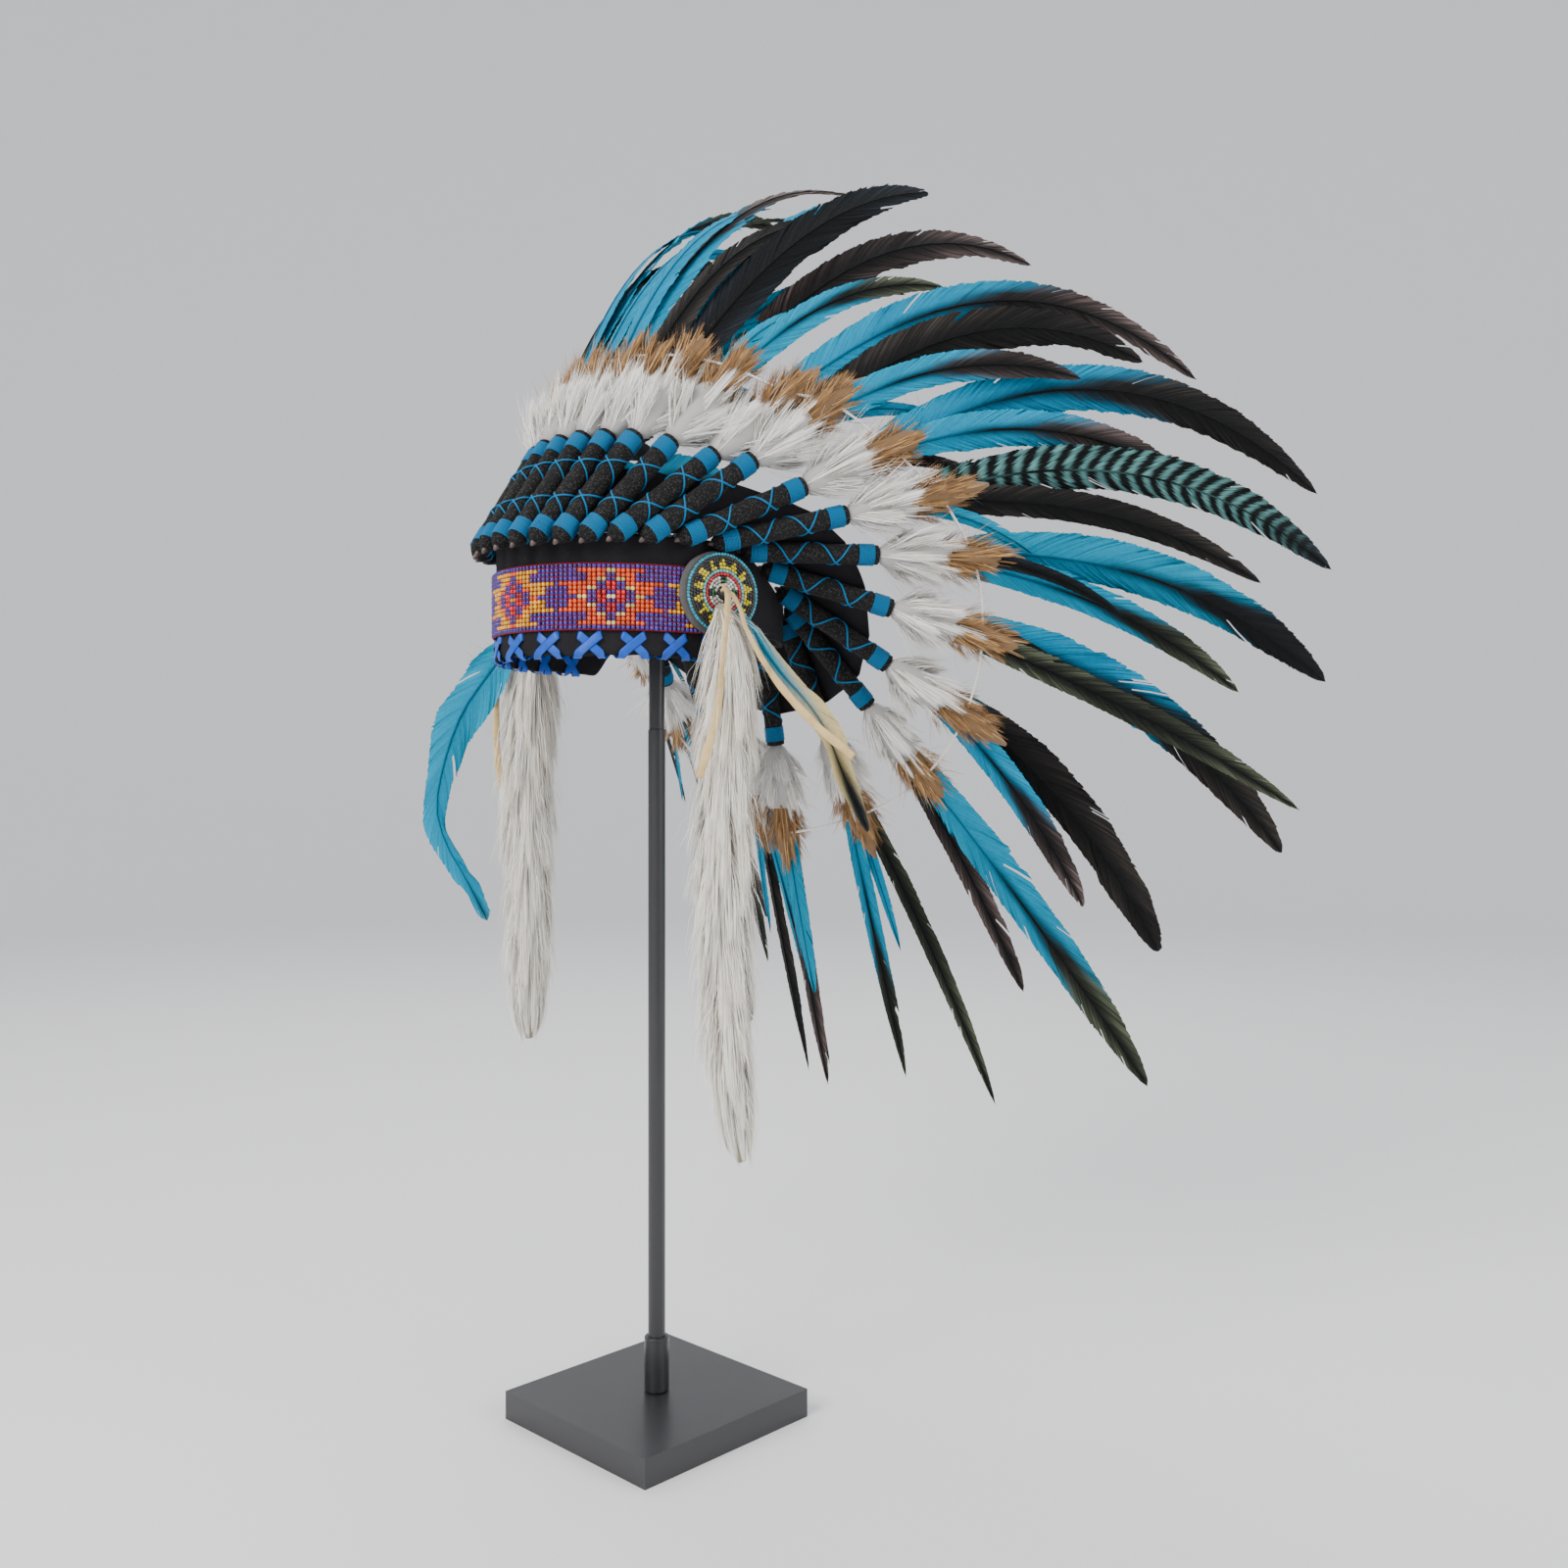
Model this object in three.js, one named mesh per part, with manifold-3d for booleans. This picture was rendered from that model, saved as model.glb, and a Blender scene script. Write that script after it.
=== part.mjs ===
// Feathered headdress on a plain black metal stand.
// Millimetres, +Z up. The origin is the middle of the stand's underside, on the pole's axis.
// The headdress faces -Y, and the wearer's left is +X. Arcs run along the band from the middle
// of the brow, positive towards the wearer's left.
import * as THREE from "three";
import { mergeVertices } from "three/addons/utils/BufferGeometryUtils.js";
import Module from "manifold-3d";

const wasm = await Module();
wasm.setup();

// Clearances
const SEAT_GAP = 0.3; // between pieces that touch
const ROLL_GAP = 0.5; // between a roll and what it is sewn to

// Stand
const BASE_SIDE = 130;
const BASE_HEIGHT = 17;
const COLLAR_DIAMETER = 15;
const COLLAR_HEIGHT = 33;
const TUBE_DIAMETER = 10.5;
const TUBE_TOP = 420;
const ROD_DIAMETER = 9.5;
const CROSS_HEIGHT = 10;
const CROSS_WIDTH = 14;

// Head loop, measured on the band's outside
const LOOP_FRONT = 94; // half the loop, front to back
const LOOP_SIDE = 74; // half the loop, side to side
const LOOP_CENTRE_Y = -10;

// Band
const BAND_THICKNESS = 2.5;
const BAND_LOW = 457;
const BAND_HIGH = 524;
const STRIP_LOW = 472; // the narrow strip round the back of the head
const STRIP_HIGH = 497;
const CROSS_TOP = STRIP_HIGH - 10; // the hidden cross carries the band at the strip
const EAR_ARC = 150; // where the tall part ends
const EAR_ROUND = 16; // how far its lower corner is rounded along the band
const TOP_FALL_FROM = 128; // arcs between which the upper edge comes down
const TOP_FALL_TO = 204;
const BAND_SEGMENTS = 64;

// Bead strip and rosettes
const BEAD_STRIP_LOW = BAND_LOW + 14;
const BEAD_STRIP_HEIGHT = 36;
const BEAD_STRIP_THICKNESS = 2.2;
const ROSETTE_ARC = 122;
const ROSETTE_DIAMETER = 46;
const ROSETTE_THICKNESS = 3;
const ROSETTE_DOME = 1.2; // how far its middle stands out
const BACKING_DIAMETER = 48;
const BACKING_THICKNESS = 1.6;
const BACKING_FORWARD = 2.4; // it shows most at the front
const BACKING_UP = -0.4;
const ROSETTE_TURN = 8; // degrees, its face turned to the front

// Rolls
const ROLL_COUNT = 28;
const ROLL_DIAMETER = 12;
const WRAP_DIAMETER = 13;
const WRAP_WIDTH = 9.5;
const ROLL_LENGTH = 75;
const ROLL_ROW_HEIGHT = BAND_HIGH + 2; // roots of the front rolls
const ROLL_ROW_DROP = 44; // how much lower the back one is rooted
const ROLL_SIDES = 8;
const ROSETTE_BELOW = 2; // how far the rosettes stay below the rolls
const ROSETTE_HEIGHT =
  ROLL_ROW_HEIGHT - (WRAP_DIAMETER + BACKING_DIAMETER) / 2 - ROSETTE_BELOW;
const COLLAR_REACH = 52; // how far the suede collar goes out along the rolls
const SUEDE_THICKNESS = 1.6;
const SUEDE_SEGMENTS = 56;
const SUEDE_GAP = 0.8; // it is soft, and lies loose behind the rolls
const INNER_WALL = 3; // its place among the four sides of the collar's section

// Plumes
const FLUFF_REACH = 80; // from the roll's end to the tip of the brown fur
const FLUFF_HALF_WIDTH = 17;
const FLUFF_HALF_DEPTH = 14;
const FLUFF_OVERLAP = 3.6; // neighbours in a pair grow together
const FLUFF_PARTING = 0.8; // neighbours of two pairs stay apart
const LOCK_LENGTH = 30;
const LOCK_ROOT = 3.4;
const LOCK_SEAT = 0.45; // share of the fluff's depth at which locks start
const LONGEST_FEATHER = 400;
const FEATHER_START = 20; // where a feather leaves the middle of the fluff
const FIRST_WIDTH = 24;
const SECOND_WIDTH = 17;
const VANE_THICKNESS = 1.5;
const FEATHER_STEPS = 24; // along the curve that the stations are taken from
const BEND_POWER = 1.5; // a feather bends more and more towards its tip
const VANE_FRONT = 0.8; // how far vanes turn from the side to the front
const VANE_WITH_FAN = 0.4; // and how far they then lie in the fan

// Fur tails
const TAIL_HALF_WIDTH = 17.5;
const TAIL_LOCK = 62;
const TAIL_CORE = { wide: 0.78, deep: 0.62 }; // shares of the half width, under the locks
const TAIL_LOCK_ROWS = 4;
const TAIL_LOCKS_A_ROW = 3;
const TAIL_LOCK_FROM = 0.14; // share of the tail at which locks start, then the share they cover
const TAIL_LOCK_SPAN = 0.62;
const TAIL_LOCK_SEAT = 0.32;
const TAIL_LOCK_LEAN = 0.14;
const TAIL_LOCK_HALF = { wide: 6, deep: 4.5 };
const RIGHT_TAIL_SHARE = 0.85;

const rad = THREE.MathUtils.degToRad;
const lerp = THREE.MathUtils.lerp;
const smoothstep = THREE.MathUtils.smoothstep;
const UP = new THREE.Vector3(0, 0, 1);

// Half of the ring of rolls, from the brow to the back of the head.
// share: place along half of the band. sweep, rise: degrees the roll leans out from straight
// back, and up. drop: share of ROLL_ROW_DROP. Each feather: length as a share of the longest,
// droop under its own weight, then degrees it leans towards the front face and along the row.
const RING = [
  { share: 0.0, sweep: 0, rise: 55, drop: 0.0, first: [0.675, 0.9, 6, 0], second: [0.475, 0.8, 12, 3] },
  { share: 0.047, sweep: 4, rise: 55, drop: 0.0, first: [0.7125, 0.95, 8, 0], second: [0.5125, 0.8, 12, -2] },
  { share: 0.094, sweep: 7, rise: 54, drop: 0.0, first: [0.665, 0.8, 5, 1], second: [0.5375, 0.9, 10, 0] },
  { share: 0.141, sweep: 10, rise: 52.5, drop: 0.0, first: [0.645, 0.7, 6, 1], second: [0.5375, 0.9, 0, 4] },
  { share: 0.193, sweep: 14, rise: 48, drop: 0.0, first: [0.8125, 0.95, 0, -3], second: [0.5, 0.8, 6, 3] },
  { share: 0.249, sweep: 19, rise: 40, drop: 0.0, first: [0.9625, 1.3, 2, -1], second: [0.575, 0.9, -5, -4] },
  { share: 0.314, sweep: 23, rise: 37, drop: 0.0, first: [0.745, 1.0, -2, -3], second: [0.5125, 0.8, 7, 4] },
  { share: 0.392, sweep: 27, rise: 25, drop: 0.01, first: [0.98, 1.35, -4, -5], second: [0.6375, 1.1, 4, -1] },
  { share: 0.474, sweep: 32, rise: 14, drop: 0.05, first: [0.825, 1.2, -5, -3], second: [0.675, 0.8, 3, 5] },
  { share: 0.556, sweep: 36, rise: 0, drop: 0.14, first: [0.765, 1.05, -7, 2], second: [0.58, 0.8, 5, 4] },
  { share: 0.634, sweep: 38, rise: -16, drop: 0.36, first: [0.73, 1.5, -6, 1], second: [0.655, 0.3, 6, -1] },
  { share: 0.717, sweep: 36, rise: -33, drop: 0.64, first: [0.6375, 2.0, -7, 6], second: [0.4625, 1.5, 6, 4] },
  { share: 0.804, sweep: 30, rise: -49, drop: 0.84, first: [0.725, 0.3, 2, -5], second: [0.5, 0.8, 7, 3] },
  { share: 0.902, sweep: 18, rise: -66, drop: 0.95, first: [0.655, 0.9, -5, -5], second: [0.575, 1.4, 7, 7] },
  { share: 1.0, sweep: 0, rise: -80, drop: 1.0, first: [0.5625, 1.0, -4, 4], second: [0.375, 1.2, 4, -4] },
];

// The fluff's outline along its reach: how wide and how deep it is there.
const FLUFF_STATIONS = [
  { along: 0.0, wide: 0.34, deep: 0.5 },
  { along: 0.22, wide: 0.92, deep: 1.0 },
  { along: 0.56, wide: 1.0, deep: 0.92 },
  { along: 1.0, wide: 0.16, deep: 0.16 },
];

// A vane's width along the feather, as a share of its widest place.
const VANE_STATIONS = [0.2, 0.85, 1.0, 0.9, 0.6, 0.06];
const TAIL_STATIONS = [0.24, 0.8, 1.0, 0.96, 0.92, 0.84, 0.6, 0.1];

// Fur locks on a fluff, and how a lock tapers.
const FLUFF_LOCKS = [
  { start: 0.24, face: 1, lean: 16 },
  { start: 0.4, face: -1, lean: 18 },
];
const LOCK_TAPER = [1, 0.1];

// How the pull of its own weight bends a feather: mostly down, and a little back.
const WEIGHT = new THREE.Vector3(0, 0.35, -0.94).normalize();

// What hangs at a rosette. Each place is given from the middle of the rosette's face:
// millimetres out from it, towards the back of the head, and up.
const THONG_WIDTH = 4.5;
const THONG_ROUTES = {
  thong_left_short: [
    [1.6, 1.5, 0], [4.5, 2, -1], [11.5, 3, -9], [17.5, 4.5, -23],
    [26.8, 17.5, -50], [38, 35.5, -74], [50, 53, -92],
  ],
  thong_left_long: [
    [1.6, -2, 1.5], [5, -3, 2.5], [13, -5.6, -3], [19.8, -10, -16],
    [25, -16, -41.5], [24.6, -19, -68.5], [21, -28, -103.5],
  ],
  thong_right_short: [
    [1.6, 1.5, 0], [4.5, 2, -1], [11.5, 3, -9], [17.5, 4.5, -23],
    [25.4, 12, -50], [31.4, 21, -77],
  ],
  thong_right_long: [
    [1.6, -2, 1.5], [5, -3, 2.5], [13, -5.6, -3], [19.8, -10, -16],
    [25, -16, -41.5], [22.6, -21, -68.5], [16.4, -26, -95], [16.5, -22.6, -109.5],
  ],
};
const SIDE_FEATHERS = {
  side_feather_left: {
    width: 13,
    route: [
      [1.6, 8, -9], [8, 15, -24], [17, 28, -46], [24, 38.5, -60], [30, 47, -75],
      [35, 56, -100], [42, 69, -134],
    ],
  },
  side_feather_right: {
    width: 24,
    route: [
      [2.8, -13, -8], [10, -22, -20], [24, -27, -38], [43, -31, -63], [57, -34, -100],
      [61, -34, -126], [54, -30, -150], [45, -26, -166], [31, -20, -194],
    ],
  },
};
const TAIL_ROUTE = [
  [2.3, -3, -8], [8.7, -2.5, -23.5], [10.5, -3.6, -63.5], [9.5, -5.9, -123.5],
  [9.5, -5.9, -183.5], [10.6, -4.1, -243.5], [12.3, -0.7, -293.5], [14.6, 2.9, -315.5],
];

// The loop of the band on the head, with places found by their arc from the middle of the brow.
class HeadLoop {
  constructor(front, side, centreY) {
    this.steps = 1440;
    this.places = [];
    let length = 0;
    for (let i = 0; i <= this.steps; i++) {
      const angle = (2 * Math.PI * i) / this.steps;
      const point = new THREE.Vector3(
        side * Math.sin(angle),
        centreY - front * Math.cos(angle),
        0,
      );
      const outward = new THREE.Vector3(
        Math.sin(angle) / side,
        -Math.cos(angle) / front,
        0,
      ).normalize();
      if (i) length += point.distanceTo(this.places[i - 1].point);
      this.places.push({ point, outward, length });
    }
    this.length = length;
    this.half = length / 2;
  }

  at(arc) {
    const goal = ((arc % this.length) + this.length) % this.length;
    let low = 0;
    let high = this.steps;
    while (high - low > 1) {
      const middle = (low + high) >> 1;
      if (this.places[middle].length > goal) high = middle;
      else low = middle;
    }
    const a = this.places[low];
    const b = this.places[high];
    const share = (goal - a.length) / (b.length - a.length);
    return {
      point: a.point.clone().lerp(b.point, share),
      outward: a.outward.clone().lerp(b.outward, share).normalize(),
    };
  }

  // A place at a height, a distance outside the loop.
  place(arc, offset, height) {
    const { point, outward } = this.at(arc);
    return point.addScaledVector(outward, offset).setZ(height);
  }
}

const loop = new HeadLoop(LOOP_FRONT, LOOP_SIDE, LOOP_CENTRE_Y);

// The arc's distance from the middle of the brow, the shorter way round.
function reachOf(arc) {
  const goal = ((arc % loop.length) + loop.length) % loop.length;
  return Math.min(goal, loop.length - goal);
}

function bandEdges(arc) {
  const reach = reachOf(arc);
  return {
    low: lerp(BAND_LOW, STRIP_LOW, smoothstep(reach, EAR_ARC, EAR_ARC + EAR_ROUND)),
    high: lerp(BAND_HIGH, STRIP_HIGH, smoothstep(reach, TOP_FALL_FROM, TOP_FALL_TO)),
  };
}

const finish = (color, roughness, metalness = 0) => ({ color, roughness, metalness });
const FINISHES = {
  blackMetal: finish(0x111214, 0.4, 0.6),
  blackSuede: finish(0x16151a, 0.9),
  beads: finish(0x3a2a9a, 0.3),
  rosetteBeads: finish(0x2fb6c8, 0.35),
  leather: finish(0xb9a98c, 0.8),
  rollCloth: finish(0x17181c, 0.7),
  fur: finish(0xe8e4dc, 0.95),
  feather: finish(0x1a8fb4, 0.6),
  thong: finish(0xe2cf9f, 0.7),
};

const headdress = new THREE.Group();

function addMesh(name, geometry, look) {
  const mesh = new THREE.Mesh(geometry, new THREE.MeshStandardMaterial(look));
  mesh.name = name;
  headdress.add(mesh);
  return mesh;
}

// A closed tube through stations, each a centre with two half axes: a cylinder, bent.
function sweep(stations, sides) {
  const geometry = new THREE.CylinderGeometry(1, 1, 1, sides, stations.length - 1);
  geometry.rotateY(Math.PI / 2);
  const position = geometry.attributes.position;
  for (let i = 0; i < position.count; i++) {
    const row = Math.round((0.5 - position.getY(i)) * (stations.length - 1));
    const { centre, across, depth, back = across } = stations[row];
    const x = position.getX(i);
    const moved = centre
      .clone()
      .addScaledVector(x < 0 ? back : across, x)
      .addScaledVector(depth, position.getZ(i));
    position.setXYZ(i, moved.x, moved.y, moved.z);
  }
  return geometry;
}

// Half axes for a station: across the face, and through it.
function sectionAxes(along, face) {
  const across = new THREE.Vector3().crossVectors(along, face).normalize();
  const depth = new THREE.Vector3().crossVectors(across, along).normalize();
  return { across, depth: depth.negate() };
}

function solidOf(geometry) {
  const bare = geometry.clone();
  bare.deleteAttribute("normal");
  bare.deleteAttribute("uv");
  const merged = mergeVertices(bare, 1e-4);
  return new wasm.Manifold(
    new wasm.Mesh({
      numProp: 3,
      vertProperties: merged.attributes.position.array,
      triVerts: new Uint32Array(merged.index.array),
    }),
  );
}

// Grows several closed geometries together into one.
function fuse(geometries) {
  const solid = geometries.map(solidOf).reduce((sum, next) => sum.add(next));
  const mesh = solid.getMesh();
  const geometry = new THREE.BufferGeometry();
  geometry.setAttribute("position", new THREE.BufferAttribute(mesh.vertProperties, 3));
  geometry.setIndex(new THREE.BufferAttribute(mesh.triVerts, 1));
  return geometry;
}

// A box laid on the loop: its length follows the arc, its thickness goes outwards.
function layOnLoop(length, height, thickness, segments, low, offset) {
  const geometry = new THREE.BoxGeometry(length, height, thickness, segments, 1, 1);
  const position = geometry.attributes.position;
  for (let i = 0; i < position.count; i++) {
    const out = offset + thickness / 2 + position.getZ(i);
    const moved = loop.place(position.getX(i), out, low + height / 2 + position.getY(i));
    position.setXYZ(i, moved.x, moved.y, moved.z);
  }
  return geometry;
}

function browBand() {
  const profile = [
    new THREE.Vector2(1, 0),
    new THREE.Vector2(2, 0),
    new THREE.Vector2(2, 1),
    new THREE.Vector2(1, 1),
    new THREE.Vector2(1, 0),
  ];
  const geometry = new THREE.LatheGeometry(profile, BAND_SEGMENTS);
  const position = geometry.attributes.position;
  for (let i = 0; i < position.count; i++) {
    const turn = Math.atan2(position.getX(i), position.getZ(i));
    const step = Math.round((turn / (2 * Math.PI)) * BAND_SEGMENTS);
    const arc = (step / BAND_SEGMENTS) * loop.length;
    const outside = Math.hypot(position.getX(i), position.getZ(i)) > 1.5;
    const { low, high } = bandEdges(arc);
    const moved = loop.place(
      arc,
      outside ? 0 : -BAND_THICKNESS,
      position.getY(i) > 0.5 ? high : low,
    );
    position.setXYZ(i, moved.x, moved.y, moved.z);
  }
  return geometry;
}

// The ring of rolls: root, direction along the roll, and the fan's face at each.
function ringRow(index) {
  const mirrored = index > ROLL_COUNT / 2;
  const row = RING[mirrored ? ROLL_COUNT - index : index];
  return { row, side: mirrored ? -1 : 1 };
}

// How far the root's axis stands off the band, for a roll that leans outwards by a share.
function rollOffset(leaning) {
  const wrap = WRAP_DIAMETER / 2;
  const leant = wrap * Math.sqrt(1 - leaning ** 2) + (leaning * WRAP_WIDTH) / 2;
  return ROLL_GAP + Math.max(wrap, leant);
}

const rolls = [];
for (let i = 0; i < ROLL_COUNT; i++) {
  const { row, side } = ringRow(i);
  const arc = side * row.share * loop.half;
  const sweepAngle = rad(row.sweep);
  const rise = rad(row.rise);
  const along = new THREE.Vector3(
    side * Math.sin(sweepAngle) * Math.cos(rise),
    Math.cos(sweepAngle) * Math.cos(rise),
    Math.sin(rise),
  );
  const offset = rollOffset(along.dot(loop.at(arc).outward));
  const root = loop.place(arc, offset, ROLL_ROW_HEIGHT - row.drop * ROLL_ROW_DROP);
  rolls.push({ row, side, arc, root, along });
}
rolls.forEach((roll, i) => {
  const next = rolls[(i + 1) % ROLL_COUNT];
  const before = rolls[(i + ROLL_COUNT - 1) % ROLL_COUNT];
  const rootLine = next.root.clone().sub(before.root);
  roll.face = new THREE.Vector3().crossVectors(rootLine, roll.along).normalize();
  roll.beside = new THREE.Vector3().crossVectors(roll.along, roll.face).normalize();
  const outward = loop.at(roll.arc).outward;
  // Vanes show their broad side to the front and the side more than the fan does.
  roll.vaneFace = new THREE.Vector3(outward.x, -VANE_FRONT, 0)
    .normalize()
    .lerp(roll.face, VANE_WITH_FAN)
    .normalize();
});

const alongRoll = (roll, distance) =>
  roll.root.clone().addScaledVector(roll.along, distance);

const ROLL_INNER_END = -WRAP_WIDTH / 2;
const ROLL_OUTER_END = ROLL_LENGTH + ROLL_INNER_END;

function rollBody() {
  const body = ROLL_DIAMETER / 2;
  const wrap = WRAP_DIAMETER / 2;
  const profile = [
    [0, ROLL_INNER_END],
    [wrap, ROLL_INNER_END],
    [wrap, ROLL_INNER_END + WRAP_WIDTH],
    [body, ROLL_INNER_END + WRAP_WIDTH],
    [body, ROLL_OUTER_END - WRAP_WIDTH],
    [wrap, ROLL_OUTER_END - WRAP_WIDTH],
    [wrap, ROLL_OUTER_END],
    [0, ROLL_OUTER_END],
  ].map(([radius, height]) => new THREE.Vector2(radius, height));
  return new THREE.LatheGeometry(profile, ROLL_SIDES);
}

// A point of the fan's surface: share of the ring, distance along the rolls.
function fanFrame(ringPlace) {
  const index = Math.floor(ringPlace) % ROLL_COUNT;
  const share = ringPlace - Math.floor(ringPlace);
  const a = rolls[index];
  const b = rolls[(index + 1) % ROLL_COUNT];
  return {
    root: a.root.clone().lerp(b.root, share),
    along: a.along.clone().lerp(b.along, share).normalize(),
    face: a.face.clone().lerp(b.face, share).normalize(),
    arc: a.arc + share * ((b.arc - a.arc + 1.5 * loop.length) % loop.length - loop.half),
  };
}

function clearOfBand(place, arc) {
  const { low, high } = bandEdges(arc);
  const { point, outward } = loop.at(arc);
  const outside = place.clone().sub(point).dot(outward) > 2 * SEAT_GAP;
  return outside || place.z > high + 2 * SEAT_GAP || place.z < low - 2 * SEAT_GAP;
}

// Where the collar starts: as near the band as it can lie without touching it.
function collarStart(frame, front, back) {
  let distance = COLLAR_REACH - 2;
  const step = 0.25;
  const isClear = (sink) =>
    clearOfBand(
      frame.root
        .clone()
        .addScaledVector(frame.along, distance - step)
        .addScaledVector(frame.face, -sink),
      frame.arc,
    );
  while (distance > ROLL_INNER_END && isClear(front) && isClear(back)) distance -= step;
  return distance;
}

// Splits one wall's quads the other way, so that two thin walls twist alike and never cross.
function matchDiagonals(geometry, sides, wall) {
  const index = geometry.index;
  for (let i = 6 * wall; i < index.count; i += 6 * sides) {
    const [a, b, d, c] = [0, 1, 2, 3].map((corner) => index.getX(i + corner));
    [a, b, c, a, c, d].forEach((corner, j) => index.setX(i + j, corner));
  }
}

function rollBacking() {
  const profile = [
    new THREE.Vector2(1, 0),
    new THREE.Vector2(2, 0),
    new THREE.Vector2(2, 1),
    new THREE.Vector2(1, 1),
    new THREE.Vector2(1, 0),
  ];
  const geometry = new THREE.LatheGeometry(profile, SUEDE_SEGMENTS);
  matchDiagonals(geometry, profile.length - 1, INNER_WALL);
  const position = geometry.attributes.position;
  const front = WRAP_DIAMETER / 2 + SUEDE_GAP;
  for (let i = 0; i < position.count; i++) {
    const turn = Math.atan2(position.getX(i), position.getZ(i)) / (2 * Math.PI);
    const step = Math.round((turn - Math.floor(turn)) * SUEDE_SEGMENTS) % SUEDE_SEGMENTS;
    const frame = fanFrame((step / SUEDE_SEGMENTS) * ROLL_COUNT);
    const inner = Math.hypot(position.getX(i), position.getZ(i)) < 1.5;
    const start = collarStart(frame, front, front + SUEDE_THICKNESS);
    const distance = position.getY(i) > 0.5 ? COLLAR_REACH : start;
    const moved = frame.root
      .addScaledVector(frame.along, distance)
      .addScaledVector(frame.face, -front - (inner ? SUEDE_THICKNESS : 0));
    position.setXYZ(i, moved.x, moved.y, moved.z);
  }
  return geometry;
}

// The centre line of a feather, bending more and more under its own weight.
function featherLine(roll, [share, droop, lift, lean], steps) {
  const up = rad(lift);
  const side = rad(lean) * roll.side;
  const start = roll.along
    .clone()
    .multiplyScalar(Math.cos(up) * Math.cos(side))
    .addScaledVector(roll.face, Math.sin(up))
    .addScaledVector(roll.beside, Math.cos(up) * Math.sin(side));
  const fine = FEATHER_STEPS;
  const point = alongRoll(roll, ROLL_OUTER_END + FEATHER_START);
  const line = [{ point: point.clone(), along: start.clone() }];
  for (let i = 0; i < fine; i++) {
    const reached = (i + 0.5) / fine;
    const along = start
      .clone()
      .addScaledVector(WEIGHT, droop * reached ** BEND_POWER)
      .normalize();
    point.addScaledVector(along, (share * LONGEST_FEATHER) / fine);
    line.push({ point: point.clone(), along });
  }
  return Array.from({ length: steps + 1 }, (_, i) => line[Math.round((i * fine) / steps)]);
}

function vane(roll, feather, width) {
  const line = featherLine(roll, feather, VANE_STATIONS.length - 1);
  return sweep(
    line.map(({ point, along }, i) => {
      const { across, depth } = sectionAxes(along, roll.vaneFace);
      return {
        centre: point,
        across: across.multiplyScalar((width / 2) * VANE_STATIONS[i]),
        depth: depth.multiplyScalar(VANE_THICKNESS / 2),
      };
    }),
    4,
  );
}

// Half the way to the neighbour's axis, less the parting or plus what grows together.
function halfGap(roll, neighbour, distance, margin) {
  const gap = alongRoll(neighbour, distance).sub(alongRoll(roll, distance));
  gap.addScaledVector(roll.along, -gap.dot(roll.along));
  const half = gap.length() / 2 + margin;
  return gap.normalize().multiplyScalar(margin > 0 ? half : Math.min(half, FLUFF_HALF_WIDTH));
}

function fluff(index) {
  const roll = rolls[index];
  const firstOfPair = index % 2 === 0;
  const next = rolls[(index + 1) % ROLL_COUNT];
  const before = rolls[(index + ROLL_COUNT - 1) % ROLL_COUNT];
  const stations = FLUFF_STATIONS.map(({ along, wide, deep }) => {
    const distance = ROLL_OUTER_END + SEAT_GAP + along * FLUFF_REACH;
    const join = wide === 1 ? FLUFF_OVERLAP : -FLUFF_PARTING;
    const towardsNext = halfGap(roll, next, distance, firstOfPair ? join : -FLUFF_PARTING);
    const towardsBefore = halfGap(roll, before, distance, firstOfPair ? -FLUFF_PARTING : join);
    return {
      centre: alongRoll(roll, distance),
      across: towardsNext.multiplyScalar(wide),
      back: towardsBefore.multiplyScalar(-wide),
      depth: roll.face.clone().multiplyScalar(-FLUFF_HALF_DEPTH * deep),
    };
  });
  return sweep(stations, 6);
}

// Pointed locks of fur that stand off the fluff, front and back.
function locks(index) {
  const roll = rolls[index];
  return FLUFF_LOCKS.map(({ start, face, lean }) => {
    const distance = ROLL_OUTER_END + start * FLUFF_REACH;
    const outward = roll.face.clone().multiplyScalar(face);
    const root = alongRoll(roll, distance).addScaledVector(outward, FLUFF_HALF_DEPTH * LOCK_SEAT);
    const along = roll.along
      .clone()
      .multiplyScalar(Math.cos(rad(lean)))
      .addScaledVector(outward, Math.sin(rad(lean)));
    const { across, depth } = sectionAxes(along, roll.face);
    return sweep(
      LOCK_TAPER.map((share, i) => ({
        centre: root.clone().addScaledVector(along, i * LOCK_LENGTH),
        across: across.clone().multiplyScalar(LOCK_ROOT * share),
        depth: depth.clone().multiplyScalar(LOCK_ROOT * share),
      })),
      4,
    );
  });
}

function plumePair(first) {
  const parts = [first, first + 1].flatMap((index) => [
    fluff(index),
    ...locks(index),
    vane(rolls[index], rolls[index].row.first, FIRST_WIDTH),
    vane(rolls[index], rolls[index].row.second, SECOND_WIDTH),
  ]);
  return fuse(parts);
}

// A curve through places given from the middle of a rosette's face.
const curveFrom = (rosette, points) =>
  new THREE.CatmullRomCurve3(
    points.map(([out, back, up]) =>
      rosette.face
        .clone()
        .addScaledVector(rosette.out, out)
        .addScaledVector(rosette.back, back)
        .addScaledVector(UP, up),
    ),
  );

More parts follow.
